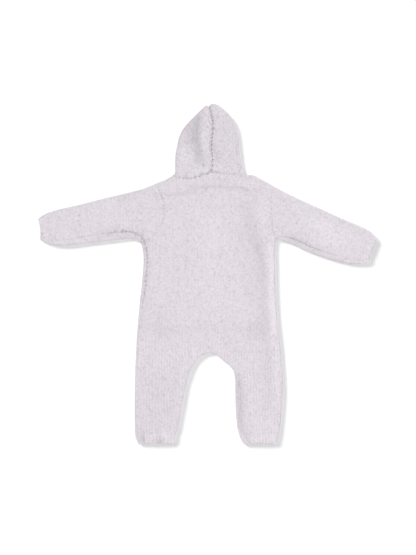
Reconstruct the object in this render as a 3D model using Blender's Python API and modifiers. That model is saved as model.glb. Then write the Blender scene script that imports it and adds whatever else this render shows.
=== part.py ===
"""A hooded baby romper in teddy cloth, laid flat on a table with its back up.

Lengths are in millimetres until a mesh is made. Across (x) runs to the wearer's right, up (y) runs
from the feet to the hood, and z is the height above the table. The garment is a flattened tube of
cloth, so most places hold an upper layer and a lower layer, which join round the rolled edges of the
outline. A place on a rolled edge is told by its course: 0 is halfway up the edge, and from there it
counts inwards, positive on the upper layer and negative on the lower one.
"""

import math

import bmesh
import bpy
import numpy as np
from mathutils import Vector
from mathutils.geometry import delaunay_2d_cdt

MM = 0.001

# Cloth
WALL = 5.0  # teddy cloth with its pile
LAYER_GAP = 0.6  # between the layers that lie on each other
SEAM_GAP = 0.3
ROLL = WALL + LAYER_GAP / 2  # radius of a rolled edge, and the height of the layers' meeting
CROWN = 3.2  # how far the upper layer rises inside the outline
CROWN_REACH = 34.0  # distance from the outline where it has risen fully

# Closure at the centre front, on the lower layer
BAND_WIDTH = 24.0
BAND_END = -120.0
BUTTON_COUNT = 5
BUTTON_FIRST = 140.0
BUTTON_PITCH = 60.0
BUTTON_RADIUS = 7.5
BUTTON_THICKNESS = 3.0
BUTTON_RIM = 1.6
BUTTON_DISH = 0.8  # depth of the face inside the rim
BUTTON_LIFT = 0.3
POCKET_RADIUS = 8.0  # the pile is pressed in round and behind each button
POCKET_DEPTH = BUTTON_LIFT + BUTTON_THICKNESS + SEAM_GAP
HOLE_RADIUS = 0.9
HOLE_OFFSET = 1.9

# Mesh
EDGE_STEP = 14.0
FILL_STEP = 26.0
UPPER = (0.0, ROLL / 2, ROLL)  # courses of the rings round a rolled edge
LOWER = (-ROLL, -ROLL / 2, 0.0)
ROUND = (*LOWER, *UPPER[1:])
WIDEST = 1000.0  # a course past any seam, which a ring then stops at
WAY_BLEND = 16.0  # distance along an edge over which its way in turns from the seam to the normal

# Points shared by the pieces: (across, up)
NECK_LEFT = (-69.0, 195.5)
NECK_RIGHT = (76.0, 195.5)
HOOD_NOTCH = (3.0, 332.5)
SHOULDER_LEFT = (-102.0, 178.9)
SHOULDER_RIGHT = (113.0, 184.5)
ARMPIT_LEFT = (-133.0, 60.5)
ARMPIT_RIGHT = (136.5, 68.0)
CROTCH = (10.0, -159.5)
NECK_BACK = (7.0, 200.3)
NECK_FRONT = (6.0, 158.0)

# Which way each seam leaves the outline at those points
NECK_LEFT_WAY = (0.85, -0.65)
NECK_RIGHT_WAY = (-0.85, -0.75)
NOTCH_WAY = (0.3, -1.15)
SHOULDER_LEFT_WAY = (0.35, -1.0)
SHOULDER_RIGHT_WAY = (0.1, -1.1)
ARMPIT_LEFT_WAY = (1.0, 0.4)
ARMPIT_RIGHT_WAY = (-0.5, 0.9)

# Sections across each sleeve, from the armhole to the wrist. The seam column is how far the underarm
# seam lies on the upper layer, measured in from the lower edge.
SLEEVE_COLUMNS = ("top_across", "top_up", "under_across", "under_up", "seam")
SLEEVE_LEFT_SECTIONS = (
    (-102.0, 178.9, -133.0, 60.5, 7.0),
    (-127.0, 168.5, -142.5, 67.4, 10.5),
    (-151.0, 162.0, -161.0, 69.2, 13.2),
    (-207.0, 148.5, -215.0, 62.8, 14.5),
    (-243.0, 139.2, -248.5, 59.0, 13.0),
    (-271.0, 132.4, -273.2, 55.5, 12.0),
    (-299.0, 126.2, -292.7, 54.6, 11.0),
    (-318.0, 120.0, -310.5, 57.0, 10.0),
    (-329.0, 114.2, -323.7, 62.0, 9.0),
    (-336.7, 107.0, -332.5, 66.8, 8.5),
)
SLEEVE_RIGHT_SECTIONS = (
    (113.0, 184.5, 136.5, 68.0, 2.8),
    (141.0, 168.2, 153.3, 64.8, 7.5),
    (172.0, 152.5, 172.4, 57.7, 9.5),
    (203.0, 138.2, 187.0, 50.2, 10.4),
    (230.0, 126.2, 210.8, 40.3, 9.5),
    (259.0, 112.8, 239.0, 30.5, 8.6),
    (287.0, 100.8, 269.0, 22.3, 8.8),
    (307.0, 92.5, 291.0, 18.2, 8.5),
    (323.4, 83.6, 308.5, 18.6, 8.2),
    (333.2, 74.0, 317.3, 21.2, 8.0),
    (337.4, 66.5, 321.0, 25.4, 8.0),
)

# Heights down the trunk and legs: where the two sides lie, and how far the left side seam lies on
# the upper layer
SIDE_COLUMNS = ("up", "left", "right", "seam")
SIDE_SECTIONS = (
    (48.5, -129.0, 134.2, 6.6),
    (27.0, -126.8, 134.7, 6.2),
    (-17.5, -129.8, 135.3, 6.0),
    (-53.5, -134.0, 136.8, 5.6),
    (-103.5, -138.5, 140.4, 3.0),
    (-133.5, -141.1, 144.3, 0.0),
    (-173.5, -143.2, 147.6, 0.0),
    (-223.5, -144.5, 150.5, 0.0),
    (-263.5, -145.0, 148.8, 0.0),
    (-303.5, -144.8, 145.5, 0.0),
    (-323.5, -143.8, 142.2, 0.0),
    (-340.2, -137.5, 137.2, 0.0),
)

# Heights down the inside of the legs
INSEAM_COLUMNS = ("up_left", "left", "up_right", "right")
INSEAM_SECTIONS = (
    (-160.8, -3.6, -163.8, 19.4),
    (-166.0, -13.6, -175.4, 32.4),
    (-175.5, -23.4, -184.9, 44.4),
    (-188.8, -31.2, -196.3, 52.6),
    (-206.3, -38.0, -212.5, 55.3),
    (-226.2, -43.8, -231.5, 55.6),
    (-257.7, -49.2, -269.5, 56.6),
    (-283.6, -54.4, -301.5, 59.0),
    (-309.6, -58.8, -326.0, 64.8),
    (-339.8, -70.2, -340.8, 73.2),
)

# Outlines and seams as (across, up)
HOOD_LEFT_OUTLINE = (
    NECK_LEFT, (-64.6, 200.5), (-64.2, 230.5), (-61.0, 250.5), (-55.0, 274.5),
    (-43.0, 294.5), (-19.8, 318.5), (-8.0, 330.0), (-1.5, 334.2), HOOD_NOTCH,
)
HOOD_RIGHT_OUTLINE = (
    NECK_RIGHT, (71.4, 201.4), (65.6, 230.3), (59.6, 280.5), (52.6, 302.2),
    (41.6, 317.2), (26.0, 332.0), (17.7, 336.2), (11.0, 337.8), (6.0, 336.4), HOOD_NOTCH,
)
SHOULDER_LEFT_LINE = (NECK_LEFT, (-83.0, 186.5), SHOULDER_LEFT)
SHOULDER_RIGHT_LINE = (NECK_RIGHT, (91.6, 195.2), SHOULDER_RIGHT)
NECK_BACK_SEAM = (
    (-53.0, 189.2), (-39.0, 187.8), (-29.0, 188.3), (-15.0, 193.1), NECK_BACK,
    (26.2, 198.5), (51.0, 195.8), (62.0, 194.0),
)
NECK_FRONT_SEAM = (
    (-50.0, 178.0), (-25.0, 163.5), NECK_FRONT, (35.0, 163.5), (60.0, 180.0),
)
HOOD_BACK_SEAM = (NECK_BACK, (8.8, 215.0), (9.8, 230.5), (7.4, 252.5), (10.4, 286.5), (9.0, 310.5))
HOOD_FRONT_SEAM = (NECK_FRONT, (8.0, 220.0), (9.0, 270.0), (8.0, 310.0))
FACE_OPENING_TOP = 275.0
FACE_OPENING_HALF = 1.5
ARMHOLE_BACK_LEFT = ((-108.0, 73.0), (-94.0, 92.0), (-86.0, 118.0), (-91.0, 150.5))
ARMHOLE_FRONT_LEFT = ((-112.0, 76.0), (-97.0, 95.0), (-88.0, 122.0), (-92.0, 152.0))
ARMHOLE_BACK_RIGHT = ((129.0, 90.0), (128.0, 118.5), (123.0, 148.0))
ARMHOLE_FRONT_RIGHT = ((124.0, 90.0), (119.0, 118.5), (117.5, 150.0))

CLOTH_COLOUR = (0.76, 0.70, 0.755)
HOOD_COLOUR = (0.73, 0.675, 0.73)
BUTTON_COLOUR = (0.62, 0.55, 0.60)


def column(sections, columns, name):
    return [row[columns.index(name)] for row in sections]


def unit(vector):
    return np.array(vector, float) / np.linalg.norm(vector)


def smooth(points, step):
    """Points about one step apart on a smooth curve through the given ones, which stay on it."""
    given = np.array(points, float)
    before = 2 * given[0] - given[1]
    after = 2 * given[-1] - given[-2]
    ends = np.vstack([before, given, after])
    made = []
    for a, b, c, d in zip(ends, ends[1:], ends[2:], ends[3:]):
        count = max(1, round(np.linalg.norm(c - b) / step))
        for t in np.arange(count) / count:
            made.append(0.5 * (2 * b + (c - a) * t + (2 * a - 5 * b + 4 * c - d) * t**2
                               + (3 * b - a - 3 * c + d) * t**3))
    return np.array(made + [given[-1]])


def smoothstep(x):
    x = np.clip(x, 0, 1)
    return x * x * (3 - 2 * x)


class Edge:
    """A rolled edge: feet along the outline and, from each, the way in over the layers."""

    def __init__(self, points, inside, first_way, last_way, seam=None):
        self.feet = smooth(points, EDGE_STEP)
        along = np.gradient(self.feet, axis=0)
        along /= np.linalg.norm(along, axis=1)[:, None]
        self.ways = inside * np.stack([-along[:, 1], along[:, 0]], axis=1)
        run = np.r_[0, np.cumsum(np.linalg.norm(np.diff(self.feet, axis=0), axis=1))]
        for way, distance in ((first_way, run), (last_way, run[-1] - run)):
            share = smoothstep(1 - distance / WAY_BLEND)[:, None]
            self.ways = share * np.array(way) + (1 - share) * self.ways
        self.seam = np.zeros(len(self.feet))
        if seam is not None:
            row_run = np.r_[0, np.cumsum(np.linalg.norm(np.diff(points, axis=0), axis=1))]
            self.seam = np.interp(run / run[-1], row_run / row_run[-1], seam)

    def part(self, start=None, stop=None):
        """The same edge between two of its feet."""
        cut = object.__new__(Edge)
        cut.feet, cut.ways, cut.seam = (
            values[start:stop].copy() for values in (self.feet, self.ways, self.seam)
        )
        return cut

    def backwards(self):
        """The same edge, told from its other end."""
        cut = self.part()
        cut.feet, cut.ways, cut.seam = cut.feet[::-1], cut.ways[::-1], cut.seam[::-1]
        return cut

    def kept_off(self, first=True, last=True):
        """The same edge, ending half a seam gap short of the seams at its ends."""
        cut = self.part()
        for end, neighbour, wanted in ((0, 1, first), (-1, -2, last)):
            if wanted:
                aside = np.array([-self.ways[end][1], self.ways[end][0]])
                aside *= np.sign(aside @ (self.feet[neighbour] - self.feet[end]))
                cut.feet[end] = self.feet[end] + SEAM_GAP / 2 * unit(aside)
        return cut

    def ring(self, courses):
        """The records of the points at these courses, one for each foot."""
        courses = np.broadcast_to(courses, len(self.feet))
        return [place(f, w, c) for f, w, c in zip(self.feet, self.ways, courses)]


def crown_at(plan):
    """How far the upper layer rises at a point of the plan."""
    start, end = OUTLINE[:-1], OUTLINE[1:]
    span = end - start
    length = np.maximum((span**2).sum(axis=1), 1e-9)
    along = np.clip(((plan - start) * span).sum(axis=1) / length, 0, 1)
    distance = np.linalg.norm(start + along[:, None] * span - plan, axis=1).min()
    return CROWN * float(smoothstep(distance / CROWN_REACH))


def place(foot, way, course):
    """(outer, inner) points of the cloth at a course round a rolled edge."""
    layer = 1 if course >= 0 else -1
    inward = abs(course)
    outer_in = inner_in = inward
    outer_up, inner_up = ROLL, LAYER_GAP / 2
    if inward < ROLL:
        turn = inward / ROLL * math.pi / 2
        outer_in = ROLL * (1 - math.cos(turn))
        inner_in = WALL + LAYER_GAP / 2 * (1 - math.cos(turn))
        outer_up = ROLL * math.sin(turn)
        inner_up = (LAYER_GAP / 2 - SEAM_GAP / 2) * math.sin(turn) + SEAM_GAP / 2 * (turn > 0)
    outer_plan, inner_plan = foot + way * outer_in, foot + way * inner_in
    lift = crown_at(outer_plan) if layer > 0 else 0.0
    return (
        (*outer_plan, ROLL + layer * outer_up + lift),
        (*inner_plan, ROLL + layer * inner_up + lift),
    )


def on_layer(plan, layer):
    """(outer, inner) points of the cloth away from the edges."""
    if layer < 0:
        return (*plan, 0.0), (*plan, WALL)
    top = 2 * ROLL + crown_at(np.asarray(plan))
    return (*plan, top), (*plan, top - WALL)


class Sheet:
    """One piece of cloth: points that each know their place on both faces, and the faces."""

    def __init__(self):
        self.outer, self.inner, self.known, self.faces = [], [], {}, []

    def point(self, record):
        key = tuple(round(value, 3) for value in record[0])
        if key not in self.known:
            self.known[key] = len(self.outer)
            self.outer.append(record[0])
            self.inner.append(record[1])
        return self.known[key]

    def face(self, records):
        corners = [self.point(record) for record in records]
        corners = [c for i, c in enumerate(corners) if c != corners[i - 1]]
        if len(set(corners)) > 2:
            self.faces.append(corners)

    def band(self, rings):
        """Faces between rings of equal length."""
        for near, far in zip(rings, rings[1:]):
            for i in range(len(near) - 1):
                self.face((near[i], near[i + 1], far[i + 1], far[i]))

    def fill(self, loop, layer):
        """Faces over the inside of a closed loop of records."""
        loop = [r for i, r in enumerate(loop) if math.dist(r[0], loop[i - 1][0]) > 0.01]
        plan = np.array([record[0][:2] for record in loop])
        inner = inside_points(plan, FILL_STEP)
        points = [Vector(p) for p in plan] + [Vector(p) for p in inner]
        made = delaunay_2d_cdt(points, [], [list(range(len(plan)))], 1, 1e-5)
        records = loop + [on_layer(tuple(p), layer) for p in inner]
        chosen = [records[origin[0]] for origin in made[3]]
        for triangle in made[2]:
            self.face([chosen[corner] for corner in triangle])


def inside_points(loop, step):
    """A triangular grid over a closed outline, clear of the outline itself."""
    low, high = loop.min(axis=0), loop.max(axis=0)
    rise = step * math.sqrt(3) / 2
    rows = np.arange(low[1] + rise / 2, high[1], rise)
    grid = [
        (x + step / 2 * (i % 2), y)
        for i, y in enumerate(rows)
        for x in np.arange(low[0], high[0], step)
    ]
    start, end = loop, np.roll(loop, -1, axis=0)
    kept = []
    for x, y in grid:
        over = (start[:, 1] > y) != (end[:, 1] > y)
        slope = (end[over, 0] - start[over, 0]) / (end[over, 1] - start[over, 1])
        crossings = start[over, 0] + slope * (y - start[over, 1])
        span = end - start
        along = np.clip(
            (((x, y) - start) * span).sum(axis=1) / np.maximum((span**2).sum(axis=1), 1e-9), 0, 1
        )
        near = np.linalg.norm(start + along[:, None] * span - (x, y), axis=1).min()
        if (crossings > x).sum() % 2 and near > 0.55 * step:
            kept.append((x, y))
    return kept


class Seam:
    """The line of a seam on the plan, from which the pieces on both sides keep half the gap."""

    def __init__(self, points):
        self.plan = smooth(points, EDGE_STEP)
        along = np.gradient(self.plan, axis=0)
        self.normals = np.stack([-along[:, 1], along[:, 0]], axis=1)
        self.normals /= np.linalg.norm(self.normals, axis=1)[:, None]

    def part(self, start=None, stop=None):
        cut = object.__new__(Seam)
        cut.plan, cut.normals = self.plan[start:stop], self.normals[start:stop]
        return cut

    def index_of(self, point):
        return int(np.linalg.norm(self.plan - point, axis=1).argmin())

    def side(self, toward, layer, start=None, end=None, extra=None):
        """Records along the side of the seam that faces a point, with other ends if given."""
        middle = len(self.plan) // 2
        sign = np.sign(self.normals[middle] @ (np.array(toward) - self.plan[middle]))
        half = SEAM_GAP / 2 if extra is None else SEAM_GAP / 2 + extra(self.plan)[:, None]
        line = [on_layer(tuple(p), layer) for p in self.plan + sign * half * self.normals]
        line[0] = start or line[0]
        line[-1] = end or line[-1]
        return line


def straight_line(start, end, layer):
    """Records along a straight cut between two records."""
    a, b = np.array(start[0][:2]), np.array(end[0][:2])
    count = max(2, round(np.linalg.norm(b - a) / EDGE_STEP))
    inner = [tuple(a + (b - a) * i / count) for i in range(1, count)]
    return [start] + [on_layer(p, layer) for p in inner] + [end]


def rows(sections, columns, *names):
    return list(zip(*(column(sections, columns, name) for name in names)))


def sleeve_edges(sections, inside, shoulder_way, armpit_way):
    top = rows(sections, SLEEVE_COLUMNS, "top_across", "top_up")
    under = rows(sections, SLEEVE_COLUMNS, "under_across", "under_up")
    down = unit(np.subtract(under[-1], top[-1]))
    seam = column(sections, SLEEVE_COLUMNS, "seam")
    return (
        Edge(top, inside, shoulder_way, down),
        Edge(under, -inside, armpit_way, -down, seam),
    )


def side_edge(armpit, name, inside, armpit_way, seam):
    points = [armpit] + rows(SIDE_SECTIONS, SIDE_COLUMNS, name, "up")
    return Edge(points, inside, armpit_way, (inside, 0.0), seam)


# The rolled edges of the whole garment
HOOD_LEFT = Edge(HOOD_LEFT_OUTLINE, -1, NECK_LEFT_WAY, NOTCH_WAY)
HOOD_RIGHT = Edge(HOOD_RIGHT_OUTLINE, 1, NECK_RIGHT_WAY, NOTCH_WAY)
SHOULDER_L = Edge(SHOULDER_LEFT_LINE, 1, NECK_LEFT_WAY, SHOULDER_LEFT_WAY)
SHOULDER_R = Edge(SHOULDER_RIGHT_LINE, -1, NECK_RIGHT_WAY, SHOULDER_RIGHT_WAY)
SLEEVE_L_TOP, SLEEVE_L_UNDER = sleeve_edges(
    SLEEVE_LEFT_SECTIONS, 1, SHOULDER_LEFT_WAY, ARMPIT_LEFT_WAY
)
SLEEVE_R_TOP, SLEEVE_R_UNDER = sleeve_edges(
    SLEEVE_RIGHT_SECTIONS, -1, SHOULDER_RIGHT_WAY, ARMPIT_RIGHT_WAY
)
SIDE_SEAM = column(SIDE_SECTIONS, SIDE_COLUMNS, "seam")
SIDE_L = side_edge(
    ARMPIT_LEFT, "left", 1, ARMPIT_LEFT_WAY, [SLEEVE_LEFT_SECTIONS[0][-1], *SIDE_SEAM]
)
SIDE_R = side_edge(ARMPIT_RIGHT, "right", -1, ARMPIT_RIGHT_WAY, None)
SIDE_R.seam[0] = SLEEVE_R_UNDER.seam[0]
INSEAM_L = rows(INSEAM_SECTIONS, INSEAM_COLUMNS, "left", "up_left")
INSEAM_R = rows(INSEAM_SECTIONS, INSEAM_COLUMNS, "right", "up_right")
INSEAM = Edge([*INSEAM_L[::-1], CROTCH, *INSEAM_R], 1, (-1.0, 0.0), (1.0, 0.0))
CROTCH_FOOT = int(np.linalg.norm(INSEAM.feet - CROTCH, axis=1).argmin())
OUTLINE = np.vstack([
    HOOD_LEFT.feet[::-1], SHOULDER_L.feet, SLEEVE_L_TOP.feet, SLEEVE_L_UNDER.feet[::-1],
    SIDE_L.feet, INSEAM.feet, SIDE_R.feet[::-1], SLEEVE_R_UNDER.feet, SLEEVE_R_TOP.feet[::-1],
    SHOULDER_R.feet[::-1], HOOD_RIGHT.feet,
])


def material(name, colour, roughness):
    made = bpy.data.materials.new(name)
    made.use_nodes = True
    shader = made.node_tree.nodes["Principled BSDF"]
    shader.inputs["Base Color"].default_value = (*colour, 1)
    shader.inputs["Roughness"].default_value = roughness
    shader.inputs["Metallic"].default_value = 0.0
    made.diffuse_color = (*colour, 1)
    return made


def cloth_object(name, sheet, colour, collection):
    """A closed solid from a sheet: its two faces and the rims between them."""
    count = len(sheet.outer)
    mesh = bpy.data.meshes.new(name)
    shape = bmesh.new()
    vertices = [shape.verts.new(Vector(p) * MM) for p in sheet.outer + sheet.inner]
    borders = {}
    for corners in sheet.faces:
        shape.faces.new([vertices[c] for c in corners])
        shape.faces.new([vertices[c + count] for c in reversed(corners)])
        for i, corner in enumerate(corners):
            pair = frozenset((corners[i - 1], corner))
            borders[pair] = None if pair in borders else (corners[i - 1], corner)
    for pair in borders.values():
        if pair:
            # The two pieces at a seam split their facing rims along the same diagonal.
            a, b = sorted(pair, key=lambda corner: sheet.outer[corner])
            shape.faces.new([vertices[a], vertices[b], vertices[a + count]])
            shape.faces.new([vertices[b], vertices[b + count], vertices[a + count]])
    bmesh.ops.recalc_face_normals(shape, faces=shape.faces)
    shape.to_mesh(mesh)
    shape.free()
    made = bpy.data.objects.new(name, mesh)
    mesh.materials.append(material(name, colour, 0.95))
    collection.objects.link(made)
    return made


def joined(*lines):
    """One closed loop of records from lines that follow each other."""
    return [record for line in lines for record in line[:-1]]


def spot(edge, end, course):
    """The plan of a point on an edge's first or last ring."""
    return place(edge.feet[end], edge.ways[end], course)[0][:2]


def above(edge):
    """Courses where the flat of the upper piece starts."""
    return np.maximum(ROLL, edge.seam + SEAM_GAP / 2)


def upper_band(sheet, edge):
    start = edge.seam + SEAM_GAP / 2
    sheet.band([edge.ring(np.maximum(course, start)) for course in UPPER])


def lower_band(sheet, edge):
    """The lower piece's roll, carried on over the edge as far as the seam."""
    stop = edge.seam - SEAM_GAP / 2
    sheet.band([edge.ring(np.minimum(course, stop)) for course in (*ROUND, WIDEST)])


def sleeve(top, under, armholes, toward):
    """One cloth rolled into a flat tube, with its seam on the upper layer."""
    sheet = Sheet()
    top, under = top.kept_off(last=False), under.kept_off(last=False)
    sheet.band([top.ring(course) for course in ROUND])
    lower_band(sheet, under)
    upper_band(sheet, under)
    for layer, armhole in zip((1, -1), armholes):
        high = top.ring(layer * ROLL)
        low = under.ring(above(under) if layer > 0 else -ROLL)
        sheet.fill(joined(
            armhole.side(toward, layer, low[0], high[0]),
            high,
            straight_line(high[-1], low[-1], layer),
            low[::-1],
        ), layer)
    return sheet


def back():
    """The trunk's back and both leg backs in one cloth, from the shoulders to the ankles."""
    sheet = Sheet()
    shoulder_l, shoulder_r = SHOULDER_L.kept_off(), SHOULDER_R.kept_off()
    side_l, side_r = SIDE_L.kept_off(last=False), SIDE_R.kept_off(last=False)
    for edge in (shoulder_l, shoulder_r, side_l, side_r, INSEAM):
        upper_band(sheet, edge)
    rings = [edge.ring(above(edge)) for edge in (shoulder_l, shoulder_r, side_l, side_r, INSEAM)]
    line_l, line_r, left, right, inseam = rings
    sheet.fill(joined(
        NECK_BACK_LINE.side(CHEST, 1, line_l[0], line_r[0]),
        line_r,
        ARMHOLES_RIGHT[0].side(CHEST, 1, right[0], line_r[-1])[::-1],
        right,
        straight_line(right[-1], inseam[-1], 1),
        inseam[::-1],
        straight_line(inseam[0], left[-1], 1),
        left[::-1],
        ARMHOLES_LEFT[0].side(CHEST, 1, left[0], line_l[-1]),
        line_l[::-1],
    ), 1)
    return sheet


def centre(up):
    """Where the centre front lies across, at a height up the garment."""
    share = (NECK_FRONT[1] - up) / (NECK_FRONT[1] - CROTCH[1])
    return NECK_FRONT[0] + share * (CROTCH[0] - NECK_FRONT[0])


def neckline(toward, start, stop, first=None, last=None):
    """Records along the front neck seam between two distances across."""
    line = NECK_FRONT_LINE.side(toward, -1, first, last)
    inside = [r for r in line if start + 1 < r[0][0] < stop - 1]
    across = [r[0][0] for r in line]
    up = [r[0][1] for r in line]
    low = [first or on_layer((start, np.interp(start, across, up)), -1)]
    high = [last or on_layer((stop, np.interp(stop, across, up)), -1)]
    return low + inside + high


def front(hand, shoulder, side, inseam, armhole):
    """A front: half the trunk and one leg, on the lower layer, as far as the button band."""
    sheet = Sheet()
    shoulder, side = shoulder.kept_off(), side.kept_off(last=False)
    for edge in (shoulder, side, inseam):
        lower_band(sheet, edge)
    line, outer, inner = (edge.ring(-ROLL) for edge in (shoulder, side, inseam))
    beside = BAND_WIDTH / 2 + SEAM_GAP
    inner_edge = NECK_FRONT[0] + hand * beside
    if hand < 0:
        neck = neckline(CHEST, line[0][0][0], inner_edge, first=line[0])[::-1]
    else:
        neck = neckline(CHEST, inner_edge, line[0][0][0], last=line[0])
    step = BAND_END - SEAM_GAP
    corner = on_layer((centre(step) + hand * beside, step), -1)
    notch = on_layer((centre(step) + hand * SEAM_GAP / 2, step), -1)
    sheet.fill(joined(
        neck,
        line,
        armhole.side(CHEST, -1, outer[0], line[-1])[::-1],
        outer,
        straight_line(outer[-1], inner[0], -1),
        inner,
        straight_line(inner[-1], notch, -1),
        straight_line(notch, corner, -1),
        straight_line(corner, neck[0], -1),
    ), -1)
    return sheet


def button_band():
    """The strip between the fronts, from the neck down."""
    sheet = Sheet()
    half = BAND_WIDTH / 2
    top = neckline(CHEST, NECK_FRONT[0] - half, NECK_FRONT[0] + half)
    low_l = on_layer((centre(BAND_END) - half, BAND_END), -1)
    low_r = on_layer((centre(BAND_END) + half, BAND_END), -1)
    sheet.fill(joined(
        top,
        straight_line(top[-1], low_r, -1),
        straight_line(low_r, low_l, -1),
        straight_line(low_l, top[0], -1),
    ), -1)
    return sheet


def face_opening(plan):
    """How far each half of the hood draws back from the centre in front of the face."""
    return (FACE_OPENING_HALF - SEAM_GAP / 2) * smoothstep((FACE_OPENING_TOP - plan[:, 1]) / 20)


def hood(hand, edge):
    """Half the hood: an upper and a lower layer that join round its rolled outer edge."""
    sheet = Sheet()
    edge = edge.kept_off()
    sheet.band([edge.ring(course) for course in ROUND])
    outward = (hand * 1000.0, NECK_BACK[1])
    over = (0.0, 1000.0)
    gap = SEAM_GAP / 2
    high, low = edge.ring(ROLL), edge.ring(-ROLL)
    split = NECK_BACK_LINE.index_of(NECK_BACK)
    corner = on_layer((NECK_BACK[0] + hand * gap, NECK_BACK[1] + gap), 1)
    if hand < 0:
        neck = NECK_BACK_LINE.part(stop=split + 1).side(over, 1, high[0], corner)
    else:
        neck = NECK_BACK_LINE.part(split).side(over, 1, corner, high[0])[::-1]
    middle = HOOD_BACK_LINE.side(outward, 1, corner, high[-1])
    sheet.fill(joined(neck, middle, high[::-1]), 1)
    opening = NECK_FRONT[0] + hand * FACE_OPENING_HALF
    if hand < 0:
        neck = neckline(over, low[0][0][0], opening, first=low[0])
    else:
        neck = neckline(over, opening, low[0][0][0], last=low[0])[::-1]
    middle = HOOD_FRONT_LINE.side(outward, -1, neck[-1], low[-1], face_opening)
    sheet.fill(joined(neck, middle, low[::-1]), -1)
    return sheet


def pockets(collection):
    """Cutters for the hollows that the buttons press into the band."""
    for number in range(BUTTON_COUNT):
        up = BUTTON_FIRST - number * BUTTON_PITCH
        bpy.ops.mesh.primitive_cylinder_add(
            vertices=24, radius=POCKET_RADIUS * MM, depth=2 * POCKET_DEPTH * MM,
            location=(centre(up) * MM, up * MM, 0),
        )
        cutter = bpy.context.object
        cutter.name = f"pocket_{number + 1}"
        cutter.hide_render = True
        cutter.display_type = "WIRE"
        for owner in cutter.users_collection:
            owner.objects.unlink(cutter)
        collection.objects.link(cutter)


def button_mesh():
    """A turned four-hole button, its outer face down."""
    flat, middle = BUTTON_RADIUS - BUTTON_RIM, BUTTON_THICKNESS / 2
    profile = [
        (0.0, BUTTON_THICKNESS), (flat, BUTTON_THICKNESS), (BUTTON_RADIUS, middle),
        (flat + 1.0, 0.1), (flat, 0.0), (flat - BUTTON_DISH, BUTTON_DISH), (0.0, BUTTON_DISH),
    ]
    mesh = bpy.data.meshes.new("button")
    mesh.from_pydata(
        [(x * MM, 0, z * MM) for x, z in profile], [(i, i + 1) for i in range(len(profile) - 1)], []
    )
    turned = bpy.data.objects.new("button_blank", mesh)
    bpy.context.scene.collection.objects.link(turned)
    screw = turned.modifiers.new("turn", "SCREW")
    screw.steps = screw.render_steps = 24
    screw.use_merge_vertices = True
    screw.merge_threshold = 1e-5
    cutters = []
    for quarter in range(4):
        angle = math.pi / 4 + quarter * math.pi / 2
        bpy.ops.mesh.primitive_cylinder_add(
            vertices=8, radius=HOLE_RADIUS * MM, depth=4 * BUTTON_THICKNESS * MM,
            location=(HOLE_OFFSET * math.cos(angle) * MM, HOLE_OFFSET * math.sin(angle) * MM, 0),
        )
        cutters.append(bpy.context.object)
        hole = turned.modifiers.new(f"hole_{quarter}", "BOOLEAN")
        hole.object = cutters[-1]
    bpy.context.view_layer.update()
    graph = bpy.context.evaluated_depsgraph_get()
    made = bpy.data.meshes.new_from_object(turned.evaluated_get(graph))
    made.name = "button"
    made.shade_smooth()
    made.set_sharp_from_angle(angle=math.radians(35))
    for helper in (turned, *cutters):
        bpy.data.objects.remove(helper)
    return made


def buttons(collection):
    mesh = button_mesh()
    mesh.materials.clear()
    mesh.materials.append(material("button", BUTTON_COLOUR, 0.35))
    for number in range(BUTTON_COUNT):
        up = BUTTON_FIRST - number * BUTTON_PITCH
        made = bpy.data.objects.new(f"button_{number + 1}", mesh)
        made.location = (centre(up) * MM, up * MM, BUTTON_LIFT * MM)
        collection.objects.link(made)


# The seams of the whole garment
CHEST = (0.0, 60.0)
NECK_BACK_LINE = Seam([spot(SHOULDER_L, 0, ROLL), *NECK_BACK_SEAM, spot(SHOULDER_R, 0, ROLL)])
NECK_FRONT_LINE = Seam([spot(SHOULDER_L, 0, -ROLL), *NECK_FRONT_SEAM, spot(SHOULDER_R, 0, -ROLL)])
HOOD_BACK_LINE = Seam([*HOOD_BACK_SEAM, spot(HOOD_LEFT, -1, ROLL)])
HOOD_FRONT_LINE = Seam([*HOOD_FRONT_SEAM, spot(HOOD_LEFT, -1, -ROLL)])
ARMHOLES_LEFT = [
    Seam([spot(SIDE_L, 0, SIDE_L.seam[0]), *ARMHOLE_BACK_LEFT, spot(SHOULDER_L, -1, ROLL)]),
    Seam([spot(SIDE_L, 0, -ROLL), *ARMHOLE_FRONT_LEFT, spot(SHOULDER_L, -1, -ROLL)]),
]
ARMHOLES_RIGHT = [
    Seam([spot(SIDE_R, 0, ROLL), *ARMHOLE_BACK_RIGHT, spot(SHOULDER_R, -1, ROLL)]),
    Seam([spot(SIDE_R, 0, -ROLL), *ARMHOLE_FRONT_RIGHT, spot(SHOULDER_R, -1, -ROLL)]),
]


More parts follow.
